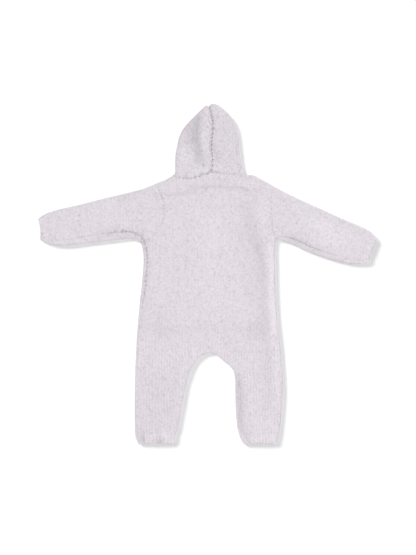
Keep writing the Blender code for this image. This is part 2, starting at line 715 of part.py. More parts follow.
def main():
    for thing in list(bpy.data.objects):
        bpy.data.objects.remove(thing)
    romper = bpy.data.collections.new("baby_romper")
    cutters = bpy.data.collections.new("cutters")
    for collection in (romper, cutters):
        bpy.context.scene.collection.children.link(collection)

    cloth_object("back", back(), CLOTH_COLOUR, romper)
    left_leg = INSEAM.part(stop=CROTCH_FOOT + 1)
    right_leg = INSEAM.part(CROTCH_FOOT)
    left_leg = left_leg.kept_off(first=False)
    right_leg = right_leg.kept_off(last=False)
    cloth_object(
        "front_left", front(-1, SHOULDER_L, SIDE_L, left_leg, ARMHOLES_LEFT[1]), CLOTH_COLOUR, romper
    )
    cloth_object(
        "front_right", front(1, SHOULDER_R, SIDE_R, right_leg.backwards(), ARMHOLES_RIGHT[1]),
        CLOTH_COLOUR, romper,
    )
    cloth_object(
        "sleeve_left", sleeve(SLEEVE_L_TOP, SLEEVE_L_UNDER, ARMHOLES_LEFT, (-300.0, 90.0)),
        CLOTH_COLOUR, romper,
    )
    cloth_object(
        "sleeve_right", sleeve(SLEEVE_R_TOP, SLEEVE_R_UNDER, ARMHOLES_RIGHT, (300.0, 60.0)),
        CLOTH_COLOUR, romper,
    )
    cloth_object("hood_left", hood(-1, HOOD_LEFT), HOOD_COLOUR, romper)
    cloth_object("hood_right", hood(1, HOOD_RIGHT), HOOD_COLOUR, romper)
    band = cloth_object("button_band", button_band(), CLOTH_COLOUR, romper)
    pockets(cutters)
    pressed = band.modifiers.new("pockets", "BOOLEAN")
    pressed.operand_type = "COLLECTION"
    pressed.collection = cutters
    buttons(romper)


main()
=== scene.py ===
"""Looks of the hooded baby romper: teddy cloth with its pile, seams, folds and gathers.

Cloth shapes are worked out in millimetres, in the frame's axes: across (x) to the wearer's right, up
(y) from the feet to the hood, and z above the floor. Each piece is the sheet of its CAD node made
fine. Its outer face carries the relief and the pile, and its inner face keeps the wall. A place on a
rolled edge is told by its course: 0 is halfway up the edge, and from there it counts inwards,
positive on the upper layer and negative on the lower one.
"""

import itertools
import math

import bmesh
import bpy
import numpy as np
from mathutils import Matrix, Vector
from mathutils.geometry import delaunay_2d_cdt
from mathutils.kdtree import KDTree


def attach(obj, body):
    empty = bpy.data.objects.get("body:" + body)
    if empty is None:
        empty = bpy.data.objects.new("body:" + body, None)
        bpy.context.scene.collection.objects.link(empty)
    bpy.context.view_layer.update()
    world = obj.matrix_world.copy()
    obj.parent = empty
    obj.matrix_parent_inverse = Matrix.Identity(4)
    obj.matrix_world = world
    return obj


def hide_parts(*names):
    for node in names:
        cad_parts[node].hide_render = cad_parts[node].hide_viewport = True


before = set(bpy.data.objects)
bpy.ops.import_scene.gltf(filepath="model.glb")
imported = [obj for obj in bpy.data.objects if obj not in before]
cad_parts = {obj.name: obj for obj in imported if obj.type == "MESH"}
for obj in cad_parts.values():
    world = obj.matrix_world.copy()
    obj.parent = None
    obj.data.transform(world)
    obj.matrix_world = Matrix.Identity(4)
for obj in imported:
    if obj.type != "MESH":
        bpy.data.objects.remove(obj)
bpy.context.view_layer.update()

MM = 0.001

# Cloth, as in the CAD model
WALL = 5.0
LAYER_GAP = 0.6
SEAM_GAP = 0.05
ROLL = WALL + LAYER_GAP / 2
CROWN = 3.2
CROWN_REACH = 34.0
WAY_BLEND = 16.0
BAND_WIDTH = 24.0
BAND_END = -120.0

# Mesh: the CAD model's spacing along edges and seams, how much finer the looks are, the spacing over the
# flat of the outer and the inner faces, how clear of its outline a grid stays as a share of that, and how
# near to each other two places on an outline, or two corners of triangles, count as one
EDGE_STEP = 14.0
FINER = 11
FINE = 1.3
INSIDE_STEP = 12.0
GRID_CLEAR = 0.6
SAME_PLACE = 2e-3
SAME_CORNER = 1e-5
MICROMETRES = 1e3
TINY = 1e-12

# Points shared by the pieces: (across, up)
NECK_LEFT = (-69.0, 195.5)
NECK_RIGHT = (76.0, 195.5)
HOOD_NOTCH = (3.0, 332.5)
SHOULDER_LEFT = (-102.0, 178.9)
SHOULDER_RIGHT = (113.0, 184.5)
ARMPIT_LEFT = (-133.0, 60.5)
ARMPIT_RIGHT = (136.5, 68.0)
CROTCH = (10.0, -159.5)
NECK_BACK = (7.0, 200.3)
NECK_FRONT = (6.0, 158.0)

# Which way each seam leaves the outline at those points
NECK_LEFT_WAY = (0.85, -0.65)
NECK_RIGHT_WAY = (-0.85, -0.75)
NOTCH_WAY = (0.3, -1.15)
SHOULDER_LEFT_WAY = (0.35, -1.0)
SHOULDER_RIGHT_WAY = (0.1, -1.1)
ARMPIT_LEFT_WAY = (1.0, 0.4)
ARMPIT_RIGHT_WAY = (-0.5, 0.9)

# Sections across each sleeve, from the armhole to the wrist. The seam column is how far the underarm
# seam lies on the upper layer, measured in from the lower edge.
SLEEVE_COLUMNS = ("top_across", "top_up", "under_across", "under_up", "seam")
SLEEVE_LEFT_SECTIONS = (
    (-102.0, 178.9, -133.0, 60.5, 7.0),
    (-127.0, 168.5, -142.5, 67.4, 10.5),
    (-151.0, 162.0, -161.0, 69.2, 13.2),
    (-207.0, 148.5, -215.0, 62.8, 14.5),
    (-243.0, 139.2, -248.5, 59.0, 13.0),
    (-271.0, 132.4, -273.2, 55.5, 12.0),
    (-299.0, 126.2, -292.7, 54.6, 11.0),
    (-318.0, 120.0, -310.5, 57.0, 10.0),
    (-329.0, 114.2, -323.7, 62.0, 9.0),
    (-336.7, 107.0, -332.5, 66.8, 8.5),
)
SLEEVE_RIGHT_SECTIONS = (
    (113.0, 184.5, 136.5, 68.0, 2.8),
    (141.0, 168.2, 153.3, 64.8, 7.5),
    (172.0, 152.5, 172.4, 57.7, 9.5),
    (203.0, 138.2, 187.0, 50.2, 10.4),
    (230.0, 126.2, 210.8, 40.3, 9.5),
    (259.0, 112.8, 239.0, 30.5, 8.6),
    (287.0, 100.8, 269.0, 22.3, 8.8),
    (307.0, 92.5, 291.0, 18.2, 8.5),
    (323.4, 83.6, 308.5, 18.6, 8.2),
    (333.2, 74.0, 317.3, 21.2, 8.0),
    (337.4, 66.5, 321.0, 25.4, 8.0),
)

# Heights down the trunk and legs: where the two sides lie, and how far the left side seam lies on
# the upper layer
SIDE_COLUMNS = ("up", "left", "right", "seam")
SIDE_SECTIONS = (
    (48.5, -129.0, 134.2, 6.6),
    (27.0, -126.8, 134.7, 6.2),
    (-17.5, -129.8, 135.3, 6.0),
    (-53.5, -134.0, 136.8, 5.6),
    (-103.5, -138.5, 140.4, 3.0),
    (-133.5, -141.1, 144.3, 0.0),
    (-173.5, -143.2, 147.6, 0.0),
    (-223.5, -144.5, 150.5, 0.0),
    (-263.5, -145.0, 148.8, 0.0),
    (-303.5, -144.8, 145.5, 0.0),
    (-323.5, -143.8, 142.2, 0.0),
    (-340.2, -137.5, 137.2, 0.0),
)

# Heights down the inside of the legs
INSEAM_COLUMNS = ("up_left", "left", "up_right", "right")
INSEAM_SECTIONS = (
    (-160.8, -3.6, -163.8, 19.4),
    (-166.0, -13.6, -175.4, 32.4),
    (-175.5, -23.4, -184.9, 44.4),
    (-188.8, -31.2, -196.3, 52.6),
    (-206.3, -38.0, -212.5, 55.3),
    (-226.2, -43.8, -231.5, 55.6),
    (-257.7, -49.2, -269.5, 56.6),
    (-283.6, -54.4, -301.5, 59.0),
    (-309.6, -58.8, -326.0, 64.8),
    (-339.8, -70.2, -340.8, 73.2),
)

# Outlines and seams as (across, up)
HOOD_LEFT_OUTLINE = (
    NECK_LEFT, (-64.6, 200.5), (-64.2, 230.5), (-61.0, 250.5), (-55.0, 274.5),
    (-43.0, 294.5), (-19.8, 318.5), (-8.0, 330.0), (-1.5, 334.2), HOOD_NOTCH,
)
HOOD_RIGHT_OUTLINE = (
    NECK_RIGHT, (71.4, 201.4), (65.6, 230.3), (59.6, 280.5), (52.6, 302.2),
    (41.6, 317.2), (26.0, 332.0), (17.7, 336.2), (11.0, 337.8), (6.0, 336.4), HOOD_NOTCH,
)
SHOULDER_LEFT_LINE = (NECK_LEFT, (-83.0, 186.5), SHOULDER_LEFT)
SHOULDER_RIGHT_LINE = (NECK_RIGHT, (91.6, 195.2), SHOULDER_RIGHT)
NECK_BACK_SEAM = (
    (-53.0, 189.2), (-39.0, 187.8), (-29.0, 188.3), (-15.0, 193.1), NECK_BACK,
    (26.2, 198.5), (51.0, 195.8), (62.0, 194.0),
)
NECK_FRONT_SEAM = ((-50.0, 178.0), (-25.0, 163.5), NECK_FRONT, (35.0, 163.5), (60.0, 180.0))
HOOD_BACK_SEAM = (NECK_BACK, (8.8, 215.0), (9.8, 230.5), (7.4, 252.5), (10.4, 286.5), (9.0, 310.5))
HOOD_FRONT_SEAM = (NECK_FRONT, (8.0, 220.0), (9.0, 270.0), (8.0, 310.0))
FACE_OPENING_TOP = 275.0
FACE_OPENING_HALF = 1.5
FACE_OPENING_TAPER = 20.0
ARMHOLE_BACK_LEFT = ((-108.0, 73.0), (-94.0, 92.0), (-86.0, 118.0), (-91.0, 150.5))
ARMHOLE_FRONT_LEFT = ((-112.0, 76.0), (-97.0, 95.0), (-88.0, 122.0), (-92.0, 152.0))
ARMHOLE_BACK_RIGHT = ((129.0, 90.0), (128.0, 118.5), (123.0, 148.0))
ARMHOLE_FRONT_RIGHT = ((124.0, 90.0), (119.0, 118.5), (117.5, 150.0))


def column(sections, columns, name):
    return [row[columns.index(name)] for row in sections]


def rows(sections, columns, *names):
    return list(zip(*(column(sections, columns, name) for name in names)))


def unit(vector):
    return np.array(vector, float) / np.linalg.norm(vector)


def lengths(vectors):
    return np.linalg.norm(vectors, axis=1)


def smoothstep(x):
    x = np.clip(x, 0, 1)
    return x * x * (3 - 2 * x)


def curve(points, step, finer=1):
    """A smooth curve through rows of points: the CAD's places, about a step apart, or finer."""
    given = np.array(points, float)
    ends = np.vstack([2 * given[0] - given[1], given, 2 * given[-1] - given[-2]])
    made = []
    for a, b, c, d in zip(ends, ends[1:], ends[2:], ends[3:]):
        count = finer * max(1, round(np.linalg.norm((c - b)[:2]) / step))
        t = (np.arange(count) / count)[:, None]
        made.append(0.5 * (2 * b + (c - a) * t + (2 * a - 5 * b + 4 * c - d) * t**2
                           + (3 * b - a - 3 * c + d) * t**3))
    return np.vstack([*made, given[-1:]])


def run_along(points):
    """How far along a line each of its points is."""
    return np.r_[0, np.cumsum(lengths(np.diff(points, axis=0)))]


def leftward(vector, toward):
    """A vector turned by a right angle, to the side that faces another one."""
    made = np.array([-vector[1], vector[0]])
    return made * np.sign(made @ toward)


def turned_left(points):
    """Unit vectors to the left of a fine line, as the CAD finds them at its own points."""
    along = np.gradient(points[::FINER], axis=0)
    left = np.stack([-along[:, 1], along[:, 0]], axis=1)
    return between(left / lengths(left)[:, None], len(points))


def between(values, count):
    """The CAD's values at all places of the fine line."""
    index = np.arange(count) / FINER
    return np.stack([np.interp(index, np.arange(len(values)), v) for v in values.T], axis=1)


class Run:
    """Arrays that run together along a line, of which a part can be taken."""

    def __getitem__(self, cut):
        made = object.__new__(type(self))
        for name, values in vars(self).items():
            setattr(made, name, values[cut].copy())
        return made


class Line(Run):
    """Places along a line of the cloth, each on its outer and on its inner face."""

    def __init__(self, outer, inner):
        self.outer, self.inner = outer, inner

    def ended(self, first=None, last=None):
        """The same line with other end places."""
        made = self[:]
        for end, given in ((0, first), (-1, last)):
            if given is not None:
                made.outer[end], made.inner[end] = given.outer, given.inner
        return made


def place(feet, ways, courses):
    """Where the cloth's faces are at these courses round a rolled edge, before any relief."""
    courses = np.broadcast_to(courses, len(feet))[:, None]
    layer = np.where(courses >= 0, 1.0, -1.0)
    inward = np.abs(courses)
    turn = np.minimum(inward / ROLL, 1) * math.pi / 2
    past = np.maximum(inward - ROLL, 0)
    half = LAYER_GAP / 2
    inner_up = (half - SEAM_GAP / 2) * np.sin(turn) + SEAM_GAP / 2 * (turn > 0)
    return Line(
        np.hstack([feet + ways * (ROLL * (1 - np.cos(turn)) + past),
                   ROLL + layer * ROLL * np.sin(turn)]),
        np.hstack([feet + ways * (WALL + half * (1 - np.cos(turn)) + past),
                   ROLL + layer * inner_up]),
    )


def on_layer(plan, layer):
    """Where the cloth's faces are over a plan away from the edges, before any relief."""
    plan = np.atleast_2d(plan)
    outer = np.full((len(plan), 1), 2 * ROLL if layer > 0 else 0.0)
    inner = np.full((len(plan), 1), ROLL + LAYER_GAP / 2 if layer > 0 else WALL)
    return Line(np.hstack([plan, outer]), np.hstack([plan, inner]))


class Edge(Run):
    """A rolled edge: feet along the outline and, from each, the way in over the layers."""

    def __init__(self, points, inside, first_way, last_way, seam=None):
        self.feet = curve(points, EDGE_STEP, FINER)
        ways = inside * turned_left(self.feet)[::FINER]
        run = run_along(self.feet[::FINER])
        for way, distance in ((first_way, run), (last_way, run[-1] - run)):
            share = smoothstep(1 - distance / WAY_BLEND)[:, None]
            ways = share * np.array(way) + (1 - share) * ways
        self.ways = between(ways, len(self.feet))
        self.seam = np.zeros(len(self.feet))
        if seam is not None:
            row_run = run_along(points)
            seam = np.interp(run / run[-1], row_run / row_run[-1], seam)
            self.seam = between(seam[:, None], len(self.feet))[:, 0]

    def kept_off(self, first=True, last=True):
        """The same edge, ending half a seam gap short of the seams at its ends."""
        made = self[:]
        for end, neighbour, wanted in ((0, 1, first), (-1, -2, last)):
            if wanted:
                aside = leftward(self.ways[end], self.feet[neighbour] - self.feet[end])
                made.feet[end] = self.feet[end] + SEAM_GAP / 2 * unit(aside)
        return made

    def ring(self, courses):
        return place(self.feet, self.ways, courses)

    def flat_start(self):
        """The courses where the flat of the upper piece starts."""
        return np.maximum(ROLL, self.seam + SEAM_GAP / 2)


class Seam(Run):
    """The line of a seam on the plan, from which the pieces on both sides keep half the gap."""

    def __init__(self, points):
        self.plan = curve(points, EDGE_STEP, FINER)
        self.normals = turned_left(self.plan)

    def index_of(self, point):
        return int(lengths(self.plan - point).argmin())

    def side(self, toward, layer, first=None, last=None, extra=None):
        """The side of the seam that faces a point, with other ends if given."""
        middle = len(self.plan) // 2
        sign = np.sign(self.normals[middle] @ (np.array(toward) - self.plan[middle]))
        half = SEAM_GAP / 2 if extra is None else SEAM_GAP / 2 + extra(self.plan)[:, None]
        return on_layer(self.plan + sign * half * self.normals, layer).ended(first, last)


def straight(first, last, layer):
    """A straight cut between two places."""
    a, b = first.outer[:2], last.outer[:2]
    share = np.linspace(0, 1, max(2, round(np.linalg.norm(b - a) / FINE)) + 1)[:, None]
    return on_layer(a + (b - a) * share, layer).ended(first, last)


def joined(*lines):
    """One closed loop from lines that follow each other."""
    return Line(
        np.vstack([line.outer[:-1] for line in lines]), np.vstack([line.inner[:-1] for line in lines])
    )


def spot(edge, end, course):
    """The plan of a place on an edge's first or last ring."""
    return edge.ring(course).outer[end][:2]


def tree_of(points):
    tree = KDTree(len(points))
    for i, point in enumerate(points):
        tree.insert(point, i)
    tree.balance()
    return tree


def nearest_in(tree, points):
    """(the numbers of the nearest places in a tree, and how far off they are)"""
    found = [tree.find(point) for point in points]
    return np.array([hit[1] for hit in found], int), np.array([hit[2] for hit in found])


def flat(plan):
    """Plan points with a height of zero."""
    return np.hstack([plan, np.zeros((len(plan), 1))])


def grid_inside(loop, step):
    """A triangular grid over a closed outline, clear of the outline itself."""
    low, high = loop.min(axis=0), loop.max(axis=0)
    start, end = loop, np.roll(loop, -1, axis=0)
    made = []
    for i, y in enumerate(np.arange(low[1] + step / 2, high[1], step * math.sqrt(3) / 2)):
        over = (start[:, 1] > y) != (end[:, 1] > y)
        a, b = start[over], end[over]
        crossings = np.sort(a[:, 0] + (b[:, 0] - a[:, 0]) * (y - a[:, 1]) / (b[:, 1] - a[:, 1]))
        x = np.arange(low[0], high[0], step) + step / 2 * (i % 2)
        inside = x[np.searchsorted(crossings, x) % 2 == 1]
        made.append(np.stack([inside, np.full(len(inside), y)], axis=1))
    made = np.vstack(made)
    _, distance = nearest_in(tree_of(flat(loop)), flat(made))
    return made[distance > GRID_CLEAR * min(step, 2 * FINE)]


def whole(points):
    """Places as whole micrometres, to tell which ones are the same."""
    return np.round(points * MICROMETRES).astype(np.int64)


def keys_of(points):
    return [tuple(key) for key in whole(points)]


class Sheet:
    """One piece of cloth as it is built: triangles on its outer and on its inner face."""

    def __init__(self):
        self.parts = {"outer": [], "inner": []}
        self.pairs = []

    def strip(self, face, rings):
        """Triangles between rings of equal length."""
        count = len(rings[0])
        a = np.arange(count - 1)
        quads = np.vstack([
            np.stack([a, a + 1, a + 1 + count, a + count], axis=1) + i * count
            for i in range(len(rings) - 1)
        ])
        triangles = np.vstack([quads[:, [0, 1, 2]], quads[:, [0, 2, 3]]])
        self.parts[face].append((np.vstack(rings), triangles))

    def band(self, edge, start, stop):
        """The cloth round a rolled edge between two courses."""
        count = max(3, math.ceil(np.max(stop - start) / FINE)) + 1
        rings = [edge.ring(start + (stop - start) * share) for share in np.linspace(0, 1, count)]
        self.strip("outer", [ring.outer for ring in rings])
        self.strip("inner", [rings[0].inner, rings[-1].inner])
        self.pairs += [rings[0], rings[-1]]
        for end in (0, -1):
            near = [rings[0 if i < count / 2 else -1].inner[end] for i in range(count)]
            self.pairs.append(Line(np.array([ring.outer[end] for ring in rings]), np.array(near)))

    def fill(self, loop, layer):
        """The cloth over the inside of a closed loop."""
        for face, step in (("outer", FINE), ("inner", INSIDE_STEP)):
            border = getattr(loop, face)
            apart = lengths(border - np.roll(border, 1, axis=0))
            border = border[apart > SAME_PLACE]
            grid = grid_inside(border[:, :2], step)
            points = [Vector(p) for p in (*border[:, :2], *grid)]
            made = delaunay_2d_cdt(points, [], [list(range(len(border)))], 1, SAME_CORNER)
            source = np.array([origin[0] for origin in made[3]])
            places = np.vstack([border, getattr(on_layer(grid, layer), face)])
            self.parts[face].append((places[source], np.array(made[2])))
        self.pairs.append(loop)

    def welded(self, face):
        """(points, triangles, the number of each key) with the same places made one."""
        before = np.cumsum([0] + [len(points) for points, _ in self.parts[face]])
        points = np.vstack([points for points, _ in self.parts[face]])
        triangles = np.vstack([
            triangles + start for (_, triangles), start in zip(self.parts[face], before)
        ])
        _, first, index = np.unique(
            whole(points), axis=0, return_index=True, return_inverse=True
        )
        a, b, c = triangles = index.reshape(-1)[triangles].T
        proper = (a != b) & (b != c) & (a != c)
        numbers = {key: i for i, key in enumerate(keys_of(points[first]))}
        return points[first], triangles.T[proper], numbers


def border_of(triangles):
    """The sides that only one triangle has."""
    sides = np.sort(np.vstack([triangles[:, [0, 1]], triangles[:, [1, 2]], triangles[:, [2, 0]]]), axis=1)
    sides, count = np.unique(sides, axis=0, return_counts=True)
    return sides[count == 1]


def rims(sheet, outer_numbers, inner_numbers, border):
    """Triangles between the borders of the outer and the inner face."""
    partner = {}
    for line in sheet.pairs:
        for over, under in zip(keys_of(line.outer), keys_of(line.inner)):
            if over in outer_numbers and under in inner_numbers:
                partner[outer_numbers[over]] = inner_numbers[under] + len(outer_numbers)
    made = []
    for a, b in border:
        made += [(a, b, partner[b]), (a, partner[b], partner[a])]
    return np.array([corners for corners in made if len(set(corners)) == 3])


def sleeve_edges(sections, inside, shoulder_way, armpit_way):
    top = rows(sections, SLEEVE_COLUMNS, "top_across", "top_up")
    under = rows(sections, SLEEVE_COLUMNS, "under_across", "under_up")
    down = unit(np.subtract(under[-1], top[-1]))
    seam = column(sections, SLEEVE_COLUMNS, "seam")
    return (
        Edge(top, inside, shoulder_way, down),
        Edge(under, -inside, armpit_way, -down, seam),
    )


def side_edge(armpit, name, inside, armpit_way, seam):
    points = [armpit] + rows(SIDE_SECTIONS, SIDE_COLUMNS, name, "up")
    return Edge(points, inside, armpit_way, (inside, 0.0), seam)


def armholes(side, shoulder, course, back_line, front_line):
    """The seams of one armhole, on the upper layer and on the lower one."""
    return [
        Seam([spot(side, 0, course), *back_line, spot(shoulder, -1, ROLL)]),
        Seam([spot(side, 0, -ROLL), *front_line, spot(shoulder, -1, -ROLL)]),
    ]


# The rolled edges of the whole garment
HOOD_LEFT = Edge(HOOD_LEFT_OUTLINE, -1, NECK_LEFT_WAY, NOTCH_WAY)
HOOD_RIGHT = Edge(HOOD_RIGHT_OUTLINE, 1, NECK_RIGHT_WAY, NOTCH_WAY)
SHOULDER_L = Edge(SHOULDER_LEFT_LINE, 1, NECK_LEFT_WAY, SHOULDER_LEFT_WAY)
SHOULDER_R = Edge(SHOULDER_RIGHT_LINE, -1, NECK_RIGHT_WAY, SHOULDER_RIGHT_WAY)
SLEEVE_L_TOP, SLEEVE_L_UNDER = sleeve_edges(
    SLEEVE_LEFT_SECTIONS, 1, SHOULDER_LEFT_WAY, ARMPIT_LEFT_WAY
)
SLEEVE_R_TOP, SLEEVE_R_UNDER = sleeve_edges(
    SLEEVE_RIGHT_SECTIONS, -1, SHOULDER_RIGHT_WAY, ARMPIT_RIGHT_WAY
)
SIDE_SEAM = column(SIDE_SECTIONS, SIDE_COLUMNS, "seam")
SIDE_L = side_edge(
    ARMPIT_LEFT, "left", 1, ARMPIT_LEFT_WAY, [SLEEVE_LEFT_SECTIONS[0][-1], *SIDE_SEAM]
)
SIDE_R = side_edge(ARMPIT_RIGHT, "right", -1, ARMPIT_RIGHT_WAY, None)
SIDE_R.seam[:FINER] = SLEEVE_R_UNDER.seam[0] * (1 - np.arange(FINER) / FINER)
INSEAM_L = rows(INSEAM_SECTIONS, INSEAM_COLUMNS, "left", "up_left")
INSEAM_R = rows(INSEAM_SECTIONS, INSEAM_COLUMNS, "right", "up_right")
INSEAM = Edge([*INSEAM_L[::-1], CROTCH, *INSEAM_R], 1, (-1.0, 0.0), (1.0, 0.0))
CROTCH_FOOT = int(lengths(INSEAM.feet - CROTCH).argmin())
OUTLINE = np.vstack([edge.feet for edge in (
    HOOD_LEFT, SHOULDER_L, SLEEVE_L_TOP, SLEEVE_L_UNDER, SIDE_L, INSEAM, SIDE_R, SLEEVE_R_UNDER,
    SLEEVE_R_TOP, SHOULDER_R, HOOD_RIGHT,
)])

# The seams of the whole garment, and places that tell which side of a seam is meant
CHEST = (0.0, 60.0)
WRIST_LEFT = (-300.0, 90.0)
WRIST_RIGHT = (300.0, 60.0)
FAR = 1000.0
NECK_BACK_LINE = Seam([spot(SHOULDER_L, 0, ROLL), *NECK_BACK_SEAM, spot(SHOULDER_R, 0, ROLL)])
NECK_FRONT_LINE = Seam([spot(SHOULDER_L, 0, -ROLL), *NECK_FRONT_SEAM, spot(SHOULDER_R, 0, -ROLL)])
HOOD_BACK_LINE = Seam([*HOOD_BACK_SEAM, spot(HOOD_LEFT, -1, ROLL)])
HOOD_FRONT_LINE = Seam([*HOOD_FRONT_SEAM, spot(HOOD_LEFT, -1, -ROLL)])
ARMHOLES_LEFT = armholes(SIDE_L, SHOULDER_L, SIDE_L.seam[0], ARMHOLE_BACK_LEFT, ARMHOLE_FRONT_LEFT)
ARMHOLES_RIGHT = armholes(SIDE_R, SHOULDER_R, ROLL, ARMHOLE_BACK_RIGHT, ARMHOLE_FRONT_RIGHT)


def sleeve(top, under, armholes, toward):
    """One cloth rolled into a flat tube, with its seam on the upper layer."""
    sheet = Sheet()
    top, under = top.kept_off(last=False), under.kept_off(last=False)
    sheet.band(top, -ROLL, ROLL)
    sheet.band(under, -ROLL, under.seam - SEAM_GAP / 2)
    sheet.band(under, under.seam + SEAM_GAP / 2, under.flat_start())
    for layer, armhole in zip((1, -1), armholes):
        high = top.ring(layer * ROLL)
        low = under.ring(under.flat_start() if layer > 0 else -ROLL)
        sheet.fill(joined(
            armhole.side(toward, layer, low[0], high[0]),
            high,
            straight(high[-1], low[-1], layer),
            low[::-1],
        ), layer)
    return sheet


def back():
    """The trunk's back and both leg backs in one cloth, from the shoulders to the ankles."""
    sheet = Sheet()
    shoulder_l, shoulder_r = SHOULDER_L.kept_off(), SHOULDER_R.kept_off()
    side_l, side_r = SIDE_L.kept_off(last=False), SIDE_R.kept_off(last=False)
    edges = (shoulder_l, shoulder_r, side_l, side_r, INSEAM)
    for edge in edges:
        sheet.band(edge, edge.seam + SEAM_GAP / 2, edge.flat_start())
    line_l, line_r, left, right, inseam = (edge.ring(edge.flat_start()) for edge in edges)
    sheet.fill(joined(
        NECK_BACK_LINE.side(CHEST, 1, line_l[0], line_r[0]),
        line_r,
        ARMHOLES_RIGHT[0].side(CHEST, 1, right[0], line_r[-1])[::-1],
        right,
        straight(right[-1], inseam[-1], 1),
        inseam[::-1],
        straight(inseam[0], left[-1], 1),
        left[::-1],
        ARMHOLES_LEFT[0].side(CHEST, 1, left[0], line_l[-1]),
        line_l[::-1],
    ), 1)
    return sheet


def centre(up):
    """Where the centre front lies across, at a height up the garment."""
    share = (NECK_FRONT[1] - up) / (NECK_FRONT[1] - CROTCH[1])
    return NECK_FRONT[0] + share * (CROTCH[0] - NECK_FRONT[0])


def neckline(toward, start, stop, first=None, last=None):
    """The front neck seam between two distances across."""
    line = NECK_FRONT_LINE.side(toward, -1, first, last)
    across, up = line.outer[:, 0], line.outer[:, 1]
    inside = line[(across > start + FINE / 2) & (across < stop - FINE / 2)]
    low = first or on_layer((start, np.interp(start, across, up)), -1)[0]
    high = last or on_layer((stop, np.interp(stop, across, up)), -1)[0]
    return Line(
        np.vstack([low.outer, inside.outer, high.outer]), np.vstack([low.inner, inside.inner, high.inner])
    )


def half_neckline(toward, hand, end, stop):
    """The front neck seam from its end on one hand to a distance across."""
    if hand < 0:
        return neckline(toward, end.outer[0], stop, first=end)
    return neckline(toward, stop, end.outer[0], last=end)[::-1]


def front(hand, shoulder, side, inseam, armhole):
    """A front: half the trunk and one leg, on the lower layer, as far as the button band."""
    sheet = Sheet()
    shoulder, side = shoulder.kept_off(), side.kept_off(last=False)
    for edge in (shoulder, side, inseam):
        sheet.band(edge, -ROLL, edge.seam - SEAM_GAP / 2)
    line, outer, inner = (edge.ring(-ROLL) for edge in (shoulder, side, inseam))
    beside = BAND_WIDTH / 2 + SEAM_GAP
    inner_edge = NECK_FRONT[0] + hand * beside
    neck = half_neckline(CHEST, hand, line[0], inner_edge)[::-1]
    step = BAND_END - SEAM_GAP
    corner = on_layer((centre(step) + hand * beside, step), -1)[0]
    notch = on_layer((centre(step) + hand * SEAM_GAP / 2, step), -1)[0]
    sheet.fill(joined(
        neck,
        line,
        armhole.side(CHEST, -1, outer[0], line[-1])[::-1],
        outer,
        straight(outer[-1], inner[0], -1),
        inner,
        straight(inner[-1], notch, -1),
        straight(notch, corner, -1),
        straight(corner, neck[0], -1),
    ), -1)
    return sheet


def button_band():
    """The strip between the fronts, from the neck down."""
    sheet = Sheet()
    half = BAND_WIDTH / 2
    top = neckline(CHEST, NECK_FRONT[0] - half, NECK_FRONT[0] + half)
    low_l = on_layer((centre(BAND_END) - half, BAND_END), -1)[0]
    low_r = on_layer((centre(BAND_END) + half, BAND_END), -1)[0]
    corners = [top[-1], low_r, low_l, top[0]]
    sides = [straight(first, last, -1) for first, last in zip(corners, corners[1:])]
    sheet.fill(joined(top, *sides), -1)
    return sheet


def face_opening(plan):
    """How far each half of the hood draws back from the centre in front of the face."""
    share = smoothstep((FACE_OPENING_TOP - plan[:, 1]) / FACE_OPENING_TAPER)
    return (FACE_OPENING_HALF - SEAM_GAP / 2) * share


def hood(hand, edge):
    """Half the hood: an upper and a lower layer that join round its rolled outer edge."""
    sheet = Sheet()
    edge = edge.kept_off()
    sheet.band(edge, -ROLL, ROLL)
    outward = (hand * FAR, NECK_BACK[1])
    over = (0.0, FAR)
    gap = SEAM_GAP / 2
    high, low = edge.ring(ROLL), edge.ring(-ROLL)
    split = NECK_BACK_LINE.index_of(NECK_BACK)
    corner = on_layer((NECK_BACK[0] + hand * gap, NECK_BACK[1] + gap), 1)[0]
    if hand < 0:
        neck = NECK_BACK_LINE[:split + 1].side(over, 1, high[0], corner)
    else:
        neck = NECK_BACK_LINE[split:].side(over, 1, corner, high[0])[::-1]
    middle = HOOD_BACK_LINE.side(outward, 1, corner, high[-1])
    sheet.fill(joined(neck, middle, high[::-1]), 1)
    neck = half_neckline(over, hand, low[0], NECK_FRONT[0] + hand * FACE_OPENING_HALF)
    middle = HOOD_FRONT_LINE.side(outward, -1, neck[-1], low[-1], face_opening)
    sheet.fill(joined(neck, middle, low[::-1]), -1)
    return sheet


# --- Relief ---

